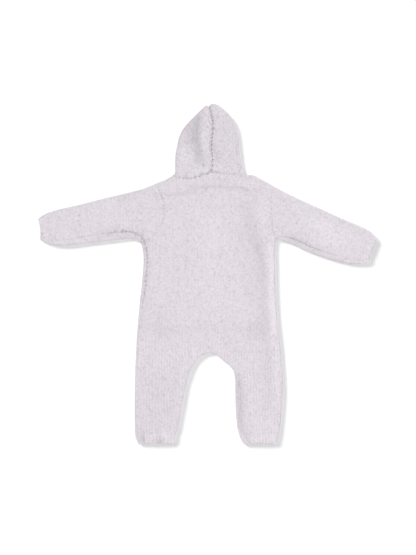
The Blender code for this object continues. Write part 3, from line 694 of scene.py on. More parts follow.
# Folds over the upper layer: (half width, height, (across, up, share of the height), ...). A height
# below zero is a trough, and points without shares have the whole height.
FOLDS = (
    # the long crease down the right side of the trunk and the leg, and the ridge outside it
    (22.0, -2.4, (72, 150, 0.5), (76, 120, 0.9), (86, 84, 1.0), (97, 48, 1.0), (104, 10, 0.6),
     (109, -28, 0.2)),
    (13.0, -2.4, (79, 96, 0.3), (91, 78, 0.6), (101, 42, 1.0), (106, 26, 1.0), (110, 2, 1.0),
     (110, -28, 1.0), (113, -80, 1.0), (115, -118, 1.0), (120, -146, 1.0), (121, -168, 0.9),
     (122, -206, 0.8), (122, -246, 0.8), (121, -272, 0.5), (121, -291, 0.1)),
    (10.0, 1.5, (112, 60, 0.3), (124, 20, 1.0), (125, -30, 1.0), (128, -100, 1.0), (135, -170, 1.0),
     (138, -240, 0.8), (134, -285, 0.2)),
    (16.0, 1.5, (100, 140, 0.5), (108, 120, 1.0), (113, 96, 0.7)),
    # the hood's left side: a trough and the bulge beside it
    (12.0, -3.6, (-17, 324, 0.5), (-22, 302, 1.0), (-24, 274, 1.0), (-21, 250, 0.9), (-16, 228, 0.8),
     (-14, 212, 0.3)),
    (9.0, 1.4, (-8, 318, 0.6), (-10, 296, 1.0), (-10, 268, 1.0), (-6, 240, 0.5)),
    (18.0, 2.0, (-52, 258, 0.3), (-48, 234, 1.0), (-42, 210, 0.9)),
    # the cloth sinks towards the hood's centre seam
    (11.0, -0.8, (8, 216, 0.8), (8, 250, 1.0), (10, 286, 1.0), (8, 320, 1.0)),
    # the rolled band above the neck seam
    (9.0, 1.3, (-50, 199, 0.9), (-25, 200, 1.0), (5, 206, 1.0), (35, 205, 1.0), (62, 202, 0.8)),
    # the inside of the right leg
    (13.0, -2.8, (58, -196, 0.3), (64, -230, 1.0), (66, -270, 1.0), (72, -321, 0.7)),
    (4.5, -1.7, (60, -206, 0.3), (63, -228, 1.0), (65, -250, 0.9), (64, -268, 1.0), (62, -286, 0.7),
     (66, -302, 0.9), (72, -320, 1.0), (79, -336, 1.0), (82, -342, 0.8)),
    # pleats at the left ankle
    (4.0, -3.0, (-129, -316, 0.2), (-128, -325, 0.9), (-127, -334, 1.0), (-127, -341, 1.0)),
    (3.2, -1.5, (-104, -341, 1.0), (-103, -330, 1.0), (-101, -320, 0.4)),
    (3.2, -1.5, (-94, -341, 1.0), (-95, -330, 1.0), (-93, -320, 0.4)),
    (3.2, -1.7, (-78, -341, 1.0), (-77, -330, 1.0), (-78, -318, 0.4)),
    # both sleeves sink towards the seam under the arm
    (18.0, -2.2, (-128, 66, 0.8), (-140, 76, 1.0), (-165, 81, 1.0), (-195, 79, 0.7), (-250, 72, 0.2)),
    (18.0, -2.0, (148, 74, 0.7), (172, 68, 1.0), (205, 56, 1.0), (240, 44, 0.5)),
    # soft diagonal folds at the top of the left sleeve
    (9.0, -1.2, (-112, 168, 0.5), (-104, 150, 1.0), (-98, 128, 0.4)),
    (9.0, -1.2, (-128, 150, 0.3), (-137, 128, 1.0), (-141, 108, 0.4)),
    # the trunk's left side, towards the side seam
    (14.0, -1.8, (-122, 40, 1.0), (-124, 0, 0.9), (-128, -60, 0.8), (-135, -130, 0.6)),
    # a faint crease down the left of the back, and one across above the legs
    (8.0, -0.9, (-45, 112, 0.4), (-43, 80, 1.0), (-43, 20, 1.0), (-41, -35, 0.3)),
    (6.0, -0.9, (-128, -104, 0.8), (-80, -107, 1.0), (-20, -108, 1.0), (40, -107, 0.6), (80, -106, 0.3)),
    # the line sewn across the shoulders
    (6.5, -2.3, (-89, 158), (-69, 155), (-45, 159), (-17, 169), (3, 171), (35, 170), (75, 165),
     (89, 156)),
)

# Painted light and shade: patches painted lighter or darker along folds, troughs, seams and rims and over
# broad swells: (half width, share of brightness, points as in a fold)
PAINTED_LIGHT_SHADE_PATCHES = (
    (45.0, 0.032, (12, 118), (8, 80), (14, 40)),
    (42.0, 0.018, (18, 40), (16, -20), (12, -80)),
    (24.0, 0.046, (195, 104), (240, 84), (290, 60)),
    (20.0, 0.036, (200, 66), (228, 64), (262, 48)),
    (20.0, 0.016, (-230, 112), (-190, 108), (-155, 104)),
    (50.0, -0.038, (-104, -190), (-104, -250), (-102, -325)),
    (17.0, -0.060, (-136, -300, 0.4), (-132, -324, 1.0), (-128, -338, 1.0)),
    (4.5, -0.100, (-128, -324, 0.6), (-127, -332, 1.0), (-127, -341, 1.0)),
    (4.0, 0.045, (-124, -316), (-119, -328), (-115, -336), (-110, -327), (-107, -316)),
    (4.0, 0.035, (-91, -334), (-86, -318), (-82, -334)),
    (16.0, -0.050, (-126, -334), (-100, -336), (-78, -334)),
    (30.0, -0.036, (-92, -80), (-88, -140)),
    (32.0, -0.045, (90, -95), (98, -140)),
    (30.0, -0.012, (-20, 182), (10, 184), (60, 182)),
    (6.5, -0.034, (-92, 160, 0.7), (-69, 155, 1.0), (-50, 161, 0.5), (-28, 170, 1.0), (3, 172, 0.8),
     (35, 171, 0.6), (60, 172, 1.0), (90, 166, 0.8), (118, 170, 0.5)),
    (22.0, -0.036, (-178, 150), (-135, 158)),
    (14.0, -0.075, (-19, 322, 0.6), (-24, 300, 1.0), (-25, 272, 1.0), (-22, 250, 0.9), (-18, 228, 0.9),
     (-15, 212, 0.4)),
    (26.0, -0.030, (-32, 298, 0.6), (-38, 272, 1.0), (-34, 248, 0.8)),
    (24.0, -0.040, (-40, 304), (-42, 274)),
    (10.0, -0.040, (12, 266, 0.5), (15, 246, 1.0), (20, 220, 0.7)),
    (14.0, 0.035, (-54, 256, 0.4), (-50, 230, 1.0), (-44, 214, 0.8)),
    (10.0, -0.018, (-126, -106, 0.7), (-80, -111, 1.0), (-20, -113, 0.9), (40, -112, 1.0),
     (100, -108, 1.0)),
    (16.0, -0.020, (66, 104, 0.6), (76, 30, 1.0), (97, -46, 1.0), (106, -110, 1.0), (110, -165, 1.0),
     (108, -228, 0.8)),
    (14.0, -0.030, (-60, -186, 1.0), (-66, -235, 1.0), (-78, -285, 0.8)),
    (12.0, -0.035, (-130, 84, 0.6), (-124, 60, 1.0), (-122, 30, 0.6)),
    (14.0, -0.055, (74, -308, 0.5), (82, -328, 1.0), (88, -338, 1.0)),
    (9.0, 0.050, (128, 60), (129, 0), (130, -60), (134, -120)),
    (12.0, -0.050, (-334, 104), (-331, 70)),
    (9.0, -0.040, (-320, 58), (-290, 52), (-250, 54), (-215, 60), (-165, 67)),
    (12.0, -0.050, (58, -190), (60, -240), (63, -300)),
)

# A fold's line: its spacing, its reach in half widths, how fast it falls off, and its rise at both ends
# over so many places, from so many up
LINE_STEP = 1.5
RIDGE_REACH = 1.6
RIDGE_FALL = 1.5
RIDGE_RISE = 12
RIDGE_START = 3

# The upper layer's swells, as (height, size, salt), how far in they are full, and how deep it may sink
SWELLS = ((0.5, 70, 1.0), (0.2, 27, 5.0))
SWELL_INSET = 12
SINK_LIMIT = 3.2

# The lower layer's swells, as (height, size, salt), its share of the folds above, and its limit
UNDER_SWELL = (0.25, 40, 2.0)
UNDER_FOLDS = 0.4
UNDER_LIMIT = 1.6

# The waves of an uneven field: how many, how each is turned and shifted, their sizes as (first, each one
# more), and what brings their sum to about 1
WAVE_COUNT = 9
WAVE_TURN = 2.4
WAVE_SHIFT = 1.7
WAVE_SIZES = (0.7, 0.09)
WAVE_TOP = 1.5

# How deep the seams draw the cloth in: at places on the upper layer, as (across, up, depth), on the lower
# layer and near halfway up an edge, with the share of its roll that is near, and how far depths blend
SEAM_DEPTHS = (
    # the neck, from left to right, and the hood's centre seam, upwards
    (-64, 190, 1.6), (-48, 188, 1.8), (-30, 188, 1.7), (-12, 194, 1.6), (7, 200, 2.1), (40, 197, 0.8),
    (70, 194, 0.8), (9, 215, 1.8), (8, 250, 2.0), (10, 286, 2.0), (8, 325, 2.2),
    # the left armhole and the right one, downwards
    (-100, 172, 1.0), (-90, 150, 1.4), (-87, 130, 1.5), (-86, 112, 0.3), (-94, 92, 0.0),
    (-110, 74, 0.0), (-121, 70, 0.0),
    (113, 178, 0.3), (123, 148, 0.2), (128, 118, 0.2), (131, 85, 0.3),
    # under the left sleeve and the right one, towards the wrist
    (-128, 68, 2.2), (-143, 78, 2.1), (-161, 82, 2.1), (-190, 80, 1.4), (-205, 77, 0.7),
    (-230, 74, 0.4), (-293, 62, 0.2), (-330, 70, 0.2),
    (172, 66, 1.8), (211, 50, 1.4), (240, 42, 0.9), (270, 35, 0.4), (291, 27, 0.3), (318, 28, 0.2),
    # the left side, downwards
    (-123, 48, 2.0), (-121, 0, 1.3), (-127, -50, 0.8), (-136, -105, 0.5), (-141, -200, 0.5),
)
UNDER_SEAM_DEPTH = 1.6
EDGE_SEAM_DEPTH = 0.2
EDGE_HALF = 0.3
DEPTH_BLEND = 2

# A seam's reach, the puffed cloth beside it, as (share of its depth, how far off, half width), and how
# far off and at the least how strongly it catches the pile
SEAM_REACH = 2.6
SEAM_PUFF = (0.18, 7.5, 3.5)
SEAM_CATCH = 1.6
CATCH_LEAST = 0.1

# Stitches: their length, their shift from piece to piece, how unevenly they run, as (height, size,
# salt), and their depth, as (mean, swing, least)
STITCH = 8.0
STITCH_TURN = 2.1
STITCH_WANDER = (3.0, 34, 4.0)
STITCH_DEPTH = (0.75, 0.9, 0.05)

# Open ends that are gathered by elastic: two ends of the hem, how far in the gathers reach, how high
# they are, and how far in the line of stitches lies
HEMS = (
    (SLEEVE_L_TOP.feet[-1], SLEEVE_L_UNDER.feet[-1], 24.0, 1.0, 17.0),
    (SLEEVE_R_TOP.feet[-1], SLEEVE_R_UNDER.feet[-1], 24.0, 1.0, 17.0),
    (SIDE_L.feet[-1], INSEAM.feet[0], 30.0, 1.1, 22.0),
    (INSEAM.feet[-1], SIDE_R.feet[-1], 30.0, 0.9, 22.0),
)

# How far off its line and past its ends a hem goes, how far along and out its gathers go and how fast
# they fade, and how far in its edge is rounded
HEM_BESIDE = 1.6
HEM_PAST = 8
HEM_HALF = 80
HEM_OUTSIDE = -5
HEM_FADE = 1.4
HEM_ROUND = 1.7

# A hem's pleats: their spacing, their sway along it and their lean further in, as (size, length), and
# their heights, as (mean, swing, length); its line of stitches, as (half width, depth), and the puffed
# cloth outside that, as (half width as a share, height)
PLEAT = 7.5
PLEAT_SWAY = (2.2, 9.0)
PLEAT_LEAN = (0.16, 13.0)
PLEAT_HEIGHTS = (0.75, 0.35, 6.3)
HEM_STITCHED = (2.2, 1.0)
HEM_PUFF = (0.33, 0.9)

# The elastic draws the middle of each open end in: how much, the share of that by which its corners
# stand out, how far in it reaches, and how far past the corners as a share of the hem
HEM_BOW = 3.1
HEM_CORNERS = 0.4
HEM_BOW_REACH = 14.0
HEM_BOW_PAST = 0.2

# Painted shade and light: how much darker the cloth is painted for each millimetre that it sinks into
# a crease or seam, and lighter where it rises, the least and the most of those, and how much of a
# seam's depth counts, in all and again past 1 mm
PAINTED_SHADE_PER_MM = 0.022
PAINTED_LIGHT_SHADE_RANGE = (-6.0, 6.5)
SEAM_PAINTED_SHADE = (0.3, 0.6)

# Painted light at the rims that face away from the key, where the pile's tips would catch light: how
# much, how sharply, which way
RIM_PAINTED_LIGHT = 6.0
RIM_SHARPNESS = 1.5
RIM_SIDE = (0.80, -0.60, 0.0)

# Pile: a tuft's cell across, up and through, the tufts' height, their two sizes, as (times that cell,
# reach in cells, share of the height, salt), where in its cell one stands and how high it grows, as
# (least, range), and how much lower it is in a seam
TUFT = (3.4, 3.9, 3.4)
TUFT_HEIGHT = 0.75
TUFT_SIZES = ((1.0, 0.95, 0.86, 1), (1.9, 0.9, 0.14, 11))
TUFT_PLACES = (0.15, 0.7)
TUFT_GROWTH = (0.8, 0.2)
TUFT_CAUGHT = 0.6

# Upright columns of the knitted ground: their spacing, how they wander, as (height, size, salt), their
# strength, as (all over, more at the bottom), and where that starts and over what length it grows
WALE = 5.9
WALE_WANDER = (1.5, 45, 6.0)
WALE_STRENGTH = (0.025, 0.045)
WALE_START = -60
WALE_FADE = 120

# Where the flat of the upper layer starts, the least wall that its relief leaves, and what share of the
# crown the inner face follows above what height
UPPER_FLAT = 1.9 * ROLL
WALL_LEAST = 1.5
INNER_CROWN = 0.3
INNER_START = ROLL + 0.1

# Large factors that scatter the numbers of a cell over 32 bits, and the bits that are kept
SALT_FACTOR = 2654435761
CELL_FACTORS = (73856093, 19349663, 83492791)
MIX_FACTOR = np.uint64(2246822519)
ALL_BITS = np.uint64(0xFFFFFFFF)
LOW_BITS = np.uint64(0xFFFFFF)

# Buttons: the first one's height and the spacing down the band, and the pocket that each is pressed into
BUTTON_FIRST = 140.0
BUTTON_PITCH = 60.0
BUTTON_COUNT = 5
POCKET_RADIUS = 8.0
POCKET_DEPTH = 3.6
POCKET_WALL = 1.4


def chance(cells, salt):
    """A number from 0 to 1 for each whole-numbered cell, the same on every run."""
    mixed = np.full(len(cells), salt * SALT_FACTOR % 2**32, np.uint64)
    for values, factor in zip(cells.T, CELL_FACTORS):
        mixed ^= (values.astype(np.int64) * factor).astype(np.uint64) & ALL_BITS
        mixed = (mixed * MIX_FACTOR ^ (mixed >> np.uint64(13))) & ALL_BITS
    mixed ^= mixed >> np.uint64(16)
    return (mixed & LOW_BITS).astype(float) / float(LOW_BITS)


def bell(x):
    return np.exp(-(x**2))


def waves(plan, size, salt):
    """A smooth uneven field from -1 to 1 with swells of about this size."""
    total = np.zeros(len(plan))
    for i in range(WAVE_COUNT):
        angle = WAVE_TURN * i + salt
        rate = 2 * math.pi / (size * (WAVE_SIZES[0] + WAVE_SIZES[1] * i))
        direction = np.array([math.cos(angle), math.sin(angle)])
        total += np.sin(plan @ direction * rate + WAVE_SHIFT * i * i + salt)
    return total / WAVE_COUNT**0.5 / WAVE_TOP


def swell(plan, height, size, salt):
    return height * waves(plan, size, salt)


def tufts(points, times, reach, share, salt):
    """How high the tufts of one size stand at these points, from 0 in the gaps to their share."""
    scaled = points / (np.array(TUFT) * times)
    cell = np.floor(scaled).astype(np.int64)
    height = np.zeros(len(points))
    for step in itertools.product((-1, 0, 1), repeat=3):
        there = cell + step
        spread = np.stack([chance(there, salt + i) for i in range(3)], axis=1)
        least, span = TUFT_PLACES
        distance = lengths(there + least + span * spread - scaled)
        least, span = TUFT_GROWTH
        grown = least + span * chance(there, salt + 3)
        height = np.maximum(height, grown * np.sqrt(np.clip(1 - (distance / reach) ** 2, 0, 1)))
    return share * height


def piled(points):
    """How high the pile stands, from 0 in its gaps to about 1: tufts in faint upright columns."""
    across = points[:, 0] + swell(points[:, :2], *WALE_WANDER)
    column = np.cos(2 * math.pi * across / WALE)
    all_over, more = WALE_STRENGTH
    strength = all_over + more * smoothstep((WALE_START - points[:, 1]) / WALE_FADE)
    return sum(tufts(points, *size) for size in TUFT_SIZES) + strength * column


def near_line(plan, line, reach):
    """(index of the plan points within reach, their distance, the nearest place on the line)"""
    low, high = line[:, :2].min(axis=0) - reach, line[:, :2].max(axis=0) + reach
    close = np.flatnonzero(((plan > low) & (plan < high)).all(axis=1))
    nearest, distance = nearest_in(tree_of(flat(line[:, :2])), flat(plan[close]))
    kept = distance < reach
    return close[kept], distance[kept], nearest[kept]


def ridge(plan, half_width, height, *points):
    """The height of a soft fold along a line."""
    line = curve(points, LINE_STEP)
    index, distance, nearest = near_line(plan, line, RIDGE_REACH * half_width)
    share = line[nearest, 2] if line.shape[1] > 2 else 1.0
    rise = smoothstep((np.arange(len(line)) + RIDGE_START) / RIDGE_RISE)
    ends = rise * rise[::-1]
    made = np.zeros(len(plan))
    made[index] = height * share * ends[nearest] * bell(RIDGE_FALL * distance / half_width)
    return made


def hem_places(plan, start, end):
    """(a hem's length, its way in, and how far along it and how far in the points lie)"""
    along = unit(end - start)
    inward = leftward(along, np.array(CHEST) - start)
    return np.linalg.norm(end - start), inward, (plan - start) @ along, (plan - start) @ inward


def gathers(plan, start, end, reach, height, stitched):
    """The height of the little pleats in from a gathered hem, and of the line sewn across them."""
    length, _, s, t = hem_places(plan, start, end)
    near = smoothstep((reach - t) / reach * HEM_FADE) * (np.abs(s - length / 2) < HEM_HALF)
    near = near * (t > HEM_OUTSIDE)
    (sway, sway_length), (lean, lean_length) = PLEAT_SWAY, PLEAT_LEAN
    warped = s + sway * np.sin(s / sway_length + 1.0) + lean * t * np.sin(s / lean_length)
    mean, swing, swing_length = PLEAT_HEIGHTS
    pleats = np.sin(2 * math.pi * warped / PLEAT) * (mean + swing * np.sin(s / swing_length + 2))
    (width, depth), (puff_share, puff_height) = HEM_STITCHED, HEM_PUFF
    sewn = bell((t - stitched) / width) * (near > 0)
    puff = bell((t - stitched / 2) / (puff_share * stitched)) * (near > 0)
    return near * height * pleats - depth * sewn + puff_height * puff


def on_hem(points):
    """Which points of a border lie on the line of an open end, where nothing is sewn on."""
    hit = np.zeros(len(points), bool)
    for start, end, *_ in HEMS:
        length, _, s, t = hem_places(points[:, :2], start, end)
        hit |= (np.abs(t) < HEM_BESIDE) & (s > -HEM_PAST) & (s < length + HEM_PAST)
    return hit


def bowed(plan):
    """How far places on the plan shift where the elastic draws the open ends in."""
    made = np.zeros_like(plan)
    for start, end, *_ in HEMS:
        length, inward, s, t = hem_places(plan, start, end)
        s = s / length
        near = bell(t / HEM_BOW_REACH) * (s > -HEM_BOW_PAST) * (s < 1 + HEM_BOW_PAST)
        bow = HEM_BOW * near * (np.sin(math.pi * np.clip(s, 0, 1)) - HEM_CORNERS)
        made += bow[:, None] * inward
    return made


OUTLINE_TREE = tree_of(flat(OUTLINE))


def creases(plan):
    """The folds and gathers of the upper layer alone."""
    return sum(ridge(plan, *fold) for fold in FOLDS) + sum(gathers(plan, *hem) for hem in HEMS)


def fold_height(plan):
    """How far the upper layer's outer face rises from the flat."""
    _, distance = nearest_in(OUTLINE_TREE, flat(plan))
    made = CROWN * smoothstep(distance / CROWN_REACH)
    made += smoothstep(distance / SWELL_INSET) * sum(swell(plan, *values) for values in SWELLS)
    return np.maximum(made + creases(plan), -SINK_LIMIT)


def under_height(plan):
    """How far the lower layer's outer face draws in from the floor, always upwards."""
    made = UNDER_SWELL[0] + swell(plan, *UNDER_SWELL) + UNDER_FOLDS * np.abs(creases(plan))
    return np.clip(made, 0, UNDER_LIMIT)


def facings(points, triangles):
    """The way that each triangle faces, longer for a larger one."""
    a, b, c = (points[corner] for corner in triangles.T)
    return np.cross(b - a, c - a)


def normals_of(points, triangles):
    """A unit normal at each point."""
    facing = facings(points, triangles)
    made = np.zeros_like(points)
    for corner in triangles.T:
        np.add.at(made, corner, facing)
    return made / np.maximum(lengths(made), TINY)[:, None]


def seam_depth(points, turn):
    """How deep the seams are drawn in at these border points, deeper at each stitch."""
    known = np.array(SEAM_DEPTHS)
    apart = np.linalg.norm(points[:, None, :2] - known[None, :, :2], axis=2)
    weight = 1 / (apart + DEPTH_BLEND) ** 3
    upper = (weight * known[:, 2]).sum(axis=1) / weight.sum(axis=1)
    run = points[:, 0] - points[:, 1] + swell(points[:, :2], *STITCH_WANDER)
    mean, swing, least = STITCH_DEPTH
    upper *= np.maximum(mean + swing * np.sin(2 * math.pi * run / STITCH + turn), least)
    side = np.abs(points[:, 2] / ROLL - 1)
    shown = np.where(points[:, 2] > ROLL, upper, UNDER_SEAM_DEPTH)
    return np.where(side < EDGE_HALF, EDGE_SEAM_DEPTH, shown)


def drawn_in(points, border, turn):
    """(how far points near the piece's own border sink, how much their pile is caught in a seam)"""
    nearest, distance = nearest_in(tree_of(border), points)
    depth = seam_depth(border, turn)[nearest]
    share, away, width = SEAM_PUFF
    seam = depth * bell(distance / SEAM_REACH)
    seam -= share * depth * bell((distance - away) / width)
    short = np.clip(HEM_ROUND - distance, 0, HEM_ROUND)
    rounded = HEM_ROUND - np.sqrt(HEM_ROUND**2 - short**2)
    at_hem = on_hem(border)[nearest]
    caught = np.where(at_hem, 0, bell(distance / SEAM_CATCH)) * np.clip(depth, CATCH_LEAST, 1)
    return np.where(at_hem, rounded, seam), caught


def pocket(plan):
    """How far the band is pressed in round each button."""
    made = np.zeros(len(plan))
    for number in range(BUTTON_COUNT):
        up = BUTTON_FIRST - number * BUTTON_PITCH
        away = lengths(plan - (centre(up), up))
        share = smoothstep((POCKET_RADIUS + POCKET_WALL - away) / POCKET_WALL)
        made = np.maximum(made, POCKET_DEPTH * share)
    return made


def relieved(outer, over, border, has_pockets, turn):
    """(the outer face with its folds, seams and pile, the pile's height, and its painted shade and light)
    """
    points, plan = outer.copy(), outer[:, :2]
    lifted = smoothstep((outer[:, 2] - ROLL) / ROLL)
    laid = smoothstep((ROLL - outer[:, 2]) / ROLL)
    pressed = has_pockets * pocket(plan)
    points[:, 2] += lifted * fold_height(plan) + laid * under_height(plan)
    points[:, 2] = np.maximum(points[:, 2], pressed)
    normals = normals_of(points, over)
    sunk, caught = drawn_in(outer, outer[np.unique(border)], turn)
    pile = piled(outer)
    stand = TUFT_HEIGHT * (1 - TUFT_CAUGHT * caught) * (pile - laid)
    stand = np.where(pressed > 0, 0, stand)
    points += normals * (stand - sunk)[:, None]
    points[:, 2] = np.maximum(points[:, 2], 0.0)
    upper = outer[:, 2] > UPPER_FLAT
    points[upper, 2] = np.maximum(points[upper, 2], ROLL + LAYER_GAP / 2 + WALL_LEAST)
    # Patches of painted light and shade, turned into the same millimetres as the painted shade
    patch_painted_light_shade = sum(ridge(plan, *fold) for fold in PAINTED_LIGHT_SHADE_PATCHES) / PAINTED_SHADE_PER_MM
    # Painted shade along the seams, deeper where they are drawn in further
    in_all, past = SEAM_PAINTED_SHADE
    sewn = in_all * sunk + past * np.maximum(sunk - 1, 0)
    # Painted light at the rims that face away from the key
    painted_rim_light = RIM_PAINTED_LIGHT * np.clip(normals @ RIM_SIDE, 0, 1) ** RIM_SHARPNESS
    # Painted shade in the folds' troughs and painted light on their ridges, added to the rest and kept
    # within its span
    return points, pile, np.clip(sewn - lifted * (creases(plan) + patch_painted_light_shade) - painted_rim_light, *PAINTED_LIGHT_SHADE_RANGE)


def facing_out(points, triangles):
    """The triangles of an outer face, each turned so that its normal points out of the cloth."""
    middle = sum(points[corner] for corner in triangles.T) / 3
    nearest, _ = nearest_in(OUTLINE_TREE, flat(middle[:, :2]))
    out = OUTLINE[nearest] - middle[:, :2]
    height = (middle[:, 2] - ROLL) / ROLL
    sideways = np.sqrt(np.clip(1 - height**2, 0, 1)) / np.maximum(lengths(out), TINY)
    outward = np.hstack([out * sideways[:, None], height[:, None]])
    wrong = (facings(points, triangles) * outward).sum(axis=1) < 0
    made = triangles.copy()
    made[wrong] = made[wrong][:, [0, 2, 1]]
    return made


def added(name, data):
    """A new object in the scene."""
    made = bpy.data.objects.new(name, data)
    bpy.context.scene.collection.objects.link(made)
    return made


def cloth(name, sheet, material, turn, has_pockets):
    """A closed piece of cloth from its sheet, with what its material needs kept at its points."""
    outer, over, outer_numbers = sheet.welded("outer")
    inner, under, inner_numbers = sheet.welded("inner")
    border = border_of(over)
    sides = rims(sheet, outer_numbers, inner_numbers, border)
    over = facing_out(outer, over)
    moved, pile, painted_light_shade = relieved(outer, over, border, has_pockets, turn)
    inner = inner.copy()
    _, distance = nearest_in(OUTLINE_TREE, flat(inner[:, :2]))
    crown = INNER_CROWN * CROWN * smoothstep(distance / CROWN_REACH)
    inner[:, 2] += crown * (inner[:, 2] > INNER_START)
    points = np.vstack([moved, inner])
    points[:, :2] += bowed(np.vstack([outer, inner])[:, :2])
    points *= MM
    triangles = np.vstack([over, under + len(outer), sides])
    mesh = bpy.data.meshes.new(name)
    mesh.from_pydata(points, [], triangles)
    shape = bmesh.new()
    shape.from_mesh(mesh)
    bmesh.ops.recalc_face_normals(shape, faces=shape.faces)
    shape.to_mesh(mesh)
    shape.free()
    mesh.shade_smooth()
    mesh.materials.append(material)
    # The pile's height, and the painted light and shade, kept at the points for the material
    for label, values in (("pile", pile), ("painted_light_shade", painted_light_shade)):
        layer = mesh.attributes.new(label, "FLOAT", "POINT")
        layer.data.foreach_set("value", np.r_[values, np.zeros(len(inner))])
    print(f"{name}: {len(triangles)} triangles")
    return added(name, mesh)


# --- Materials ---

CLOTH_COLOUR = (0.763, 0.724, 0.765)
# The hood's copy of the cloth is a little darker, as painted shade
HOOD_COLOUR = (0.754, 0.716, 0.756)
BUTTON_COLOUR = (0.60, 0.53, 0.58, 1)
FLOOR_COLOUR = (0.92, 0.92, 0.92, 1)
CLOTH_FINISH = {
    "Roughness": 0.95, "Specular IOR Level": 0.15, "Diffuse Roughness": 1.0,
    "Sheen Weight": 0.1, "Sheen Roughness": 0.6,
}

# Spans of the pile's height and of patches, and the shades that they turn into: painted shade in the
# pile's gaps and painted light on its tips, and a random tone over the patches; and the span of the
# cloth's flatness in which the pile scatters up to this share of the light
PILE_SPAN = (0.25, 0.95)
PILE_GAP_PAINTED_SHADE = 0.78
HOOD_PILE_GAP_PAINTED_SHADE = 0.72
PILE_TIP_PAINTED_LIGHT = 1.06
PATCH_SPAN = (0.3, 0.7)
PATCH_SHADES = (0.99, 1.01)
FLATNESS_SPAN = (0.2, 0.9)
PILE_SCATTER = 0.45

# Places of a Mix node's vectors among its inputs and outputs
MIX_SHARE, MIX_FIRST, MIX_SECOND = 0, 4, 5
MIX_RESULT = 1


def finished(name, values):
    """A material whose Principled shader has these values."""
    made = bpy.data.materials.new(name)
    made.use_nodes = True
    for label, value in values.items():
        made.node_tree.nodes["Principled BSDF"].inputs[label].default_value = value
    return made


def node(tree, kind, links=None, **values):
    """A node with these settings or input values, and its linked inputs."""
    made = tree.nodes.new(f"ShaderNode{kind}")
    for name, value in values.items():
        if name in made.inputs:
            made.inputs[name].default_value = value
        else:
            setattr(made, name.lower(), value)
    for name, output in (links or {}).items():
        tree.links.new(output, made.inputs[name])
    return made


def ranged(tree, value, span, shades, **values):
    """A value moved from its span to these shades."""
    made = node(tree, "MapRange", {"Value": value}, **values)
    for end, given, wanted in zip(("Min", "Max"), span, shades):
        made.inputs[f"From {end}"].default_value = given
        made.inputs[f"To {end}"].default_value = wanted
    return made.outputs["Result"]


def stored(tree, name):
    """A value that is kept at the mesh's points."""
    return node(tree, "Attribute", Attribute_Name=name).outputs["Fac"]


def product(tree, first, second):
    return node(tree, "Math", {0: first, 1: second}, Operation="MULTIPLY").outputs["Value"]


def cloth_material(name, colour, pile_gap_painted_shade):
    """Teddy cloth: soft sheen, fine curls, painted shade in its pile's gaps and where it sinks, painted
    light on ridges and rims.
    """
    made = finished(name, CLOTH_FINISH)
    tree = made.node_tree
    place = {"Vector": node(tree, "TexCoord").outputs["Object"]}
    curls = node(tree, "TexNoise", place, Scale=900.0, Detail=2.0, Roughness=0.6).outputs["Fac"]
    patches = node(tree, "TexNoise", place, Scale=75.0, Detail=3.0, Roughness=0.55).outputs["Fac"]
    # Painted shade in the pile's gaps and painted light on its tips, from the pile's height
    pile_painted_light_shade = ranged(tree, stored(tree, "pile"), PILE_SPAN, (pile_gap_painted_shade, PILE_TIP_PAINTED_LIGHT))
    patchy = ranged(tree, patches, PATCH_SPAN, PATCH_SHADES)
    # Painted shade where the cloth sinks into creases and seams, painted light on ridges, lighter patches
    # and rims
    painted_light_shade_factor = ranged(
        tree, stored(tree, "painted_light_shade"), PAINTED_LIGHT_SHADE_RANGE, [1 - by * PAINTED_SHADE_PER_MM for by in PAINTED_LIGHT_SHADE_RANGE]
    )
    shade = product(tree, product(tree, pile_painted_light_shade, patchy), painted_light_shade_factor)
    shaded = node(tree, "VectorMath", {"Scale": shade}, Operation="SCALE")
    shaded.inputs[0].default_value = colour
    bump = node(tree, "Bump", {"Height": curls}, Strength=0.5, Distance=0.0004)
    shader = tree.nodes["Principled BSDF"]
    tree.links.new(shaded.outputs["Vector"], shader.inputs["Base Color"])
    tree.links.new(scattered(tree, bump.outputs["Normal"]), shader.inputs["Normal"])
    return made


def scattered(tree, normal):
    """A normal turned towards the sky, since light that falls into deep pile comes out all round."""
    facing = node(tree, "NewGeometry").outputs["Normal"]
    flatness = node(tree, "SeparateXYZ", {0: facing}).outputs["Z"]
    share = ranged(
        tree, flatness, FLATNESS_SPAN, (0, PILE_SCATTER), Interpolation_Type="SMOOTHSTEP"
    )
    mixed = node(tree, "Mix", {MIX_SHARE: share, MIX_FIRST: normal}, Data_Type="VECTOR")
    mixed.inputs[MIX_SECOND].default_value = (0, 0, 1)
    return node(
        tree, "VectorMath", {0: mixed.outputs[MIX_RESULT]}, Operation="NORMALIZE"
    ).outputs["Vector"]


# --- Studio ---

VIEW_CENTRE = (0.001, -0.0085)
VIEW_HEIGHT = 1.11
CAMERA_UP = 2.2
SENSOR = 36.0
FLOOR_SIZE = 600
AMBIENT = 0.40
SUNS = (
    # the key from the upper left, and a fill from the right that casts no shadow
    ("key", 2.15, 19.0, (-0.76, 0.60, 0.70), True),
    ("fill", 1.85, 60.0, (0.74, -0.34, 0.56), False),
)


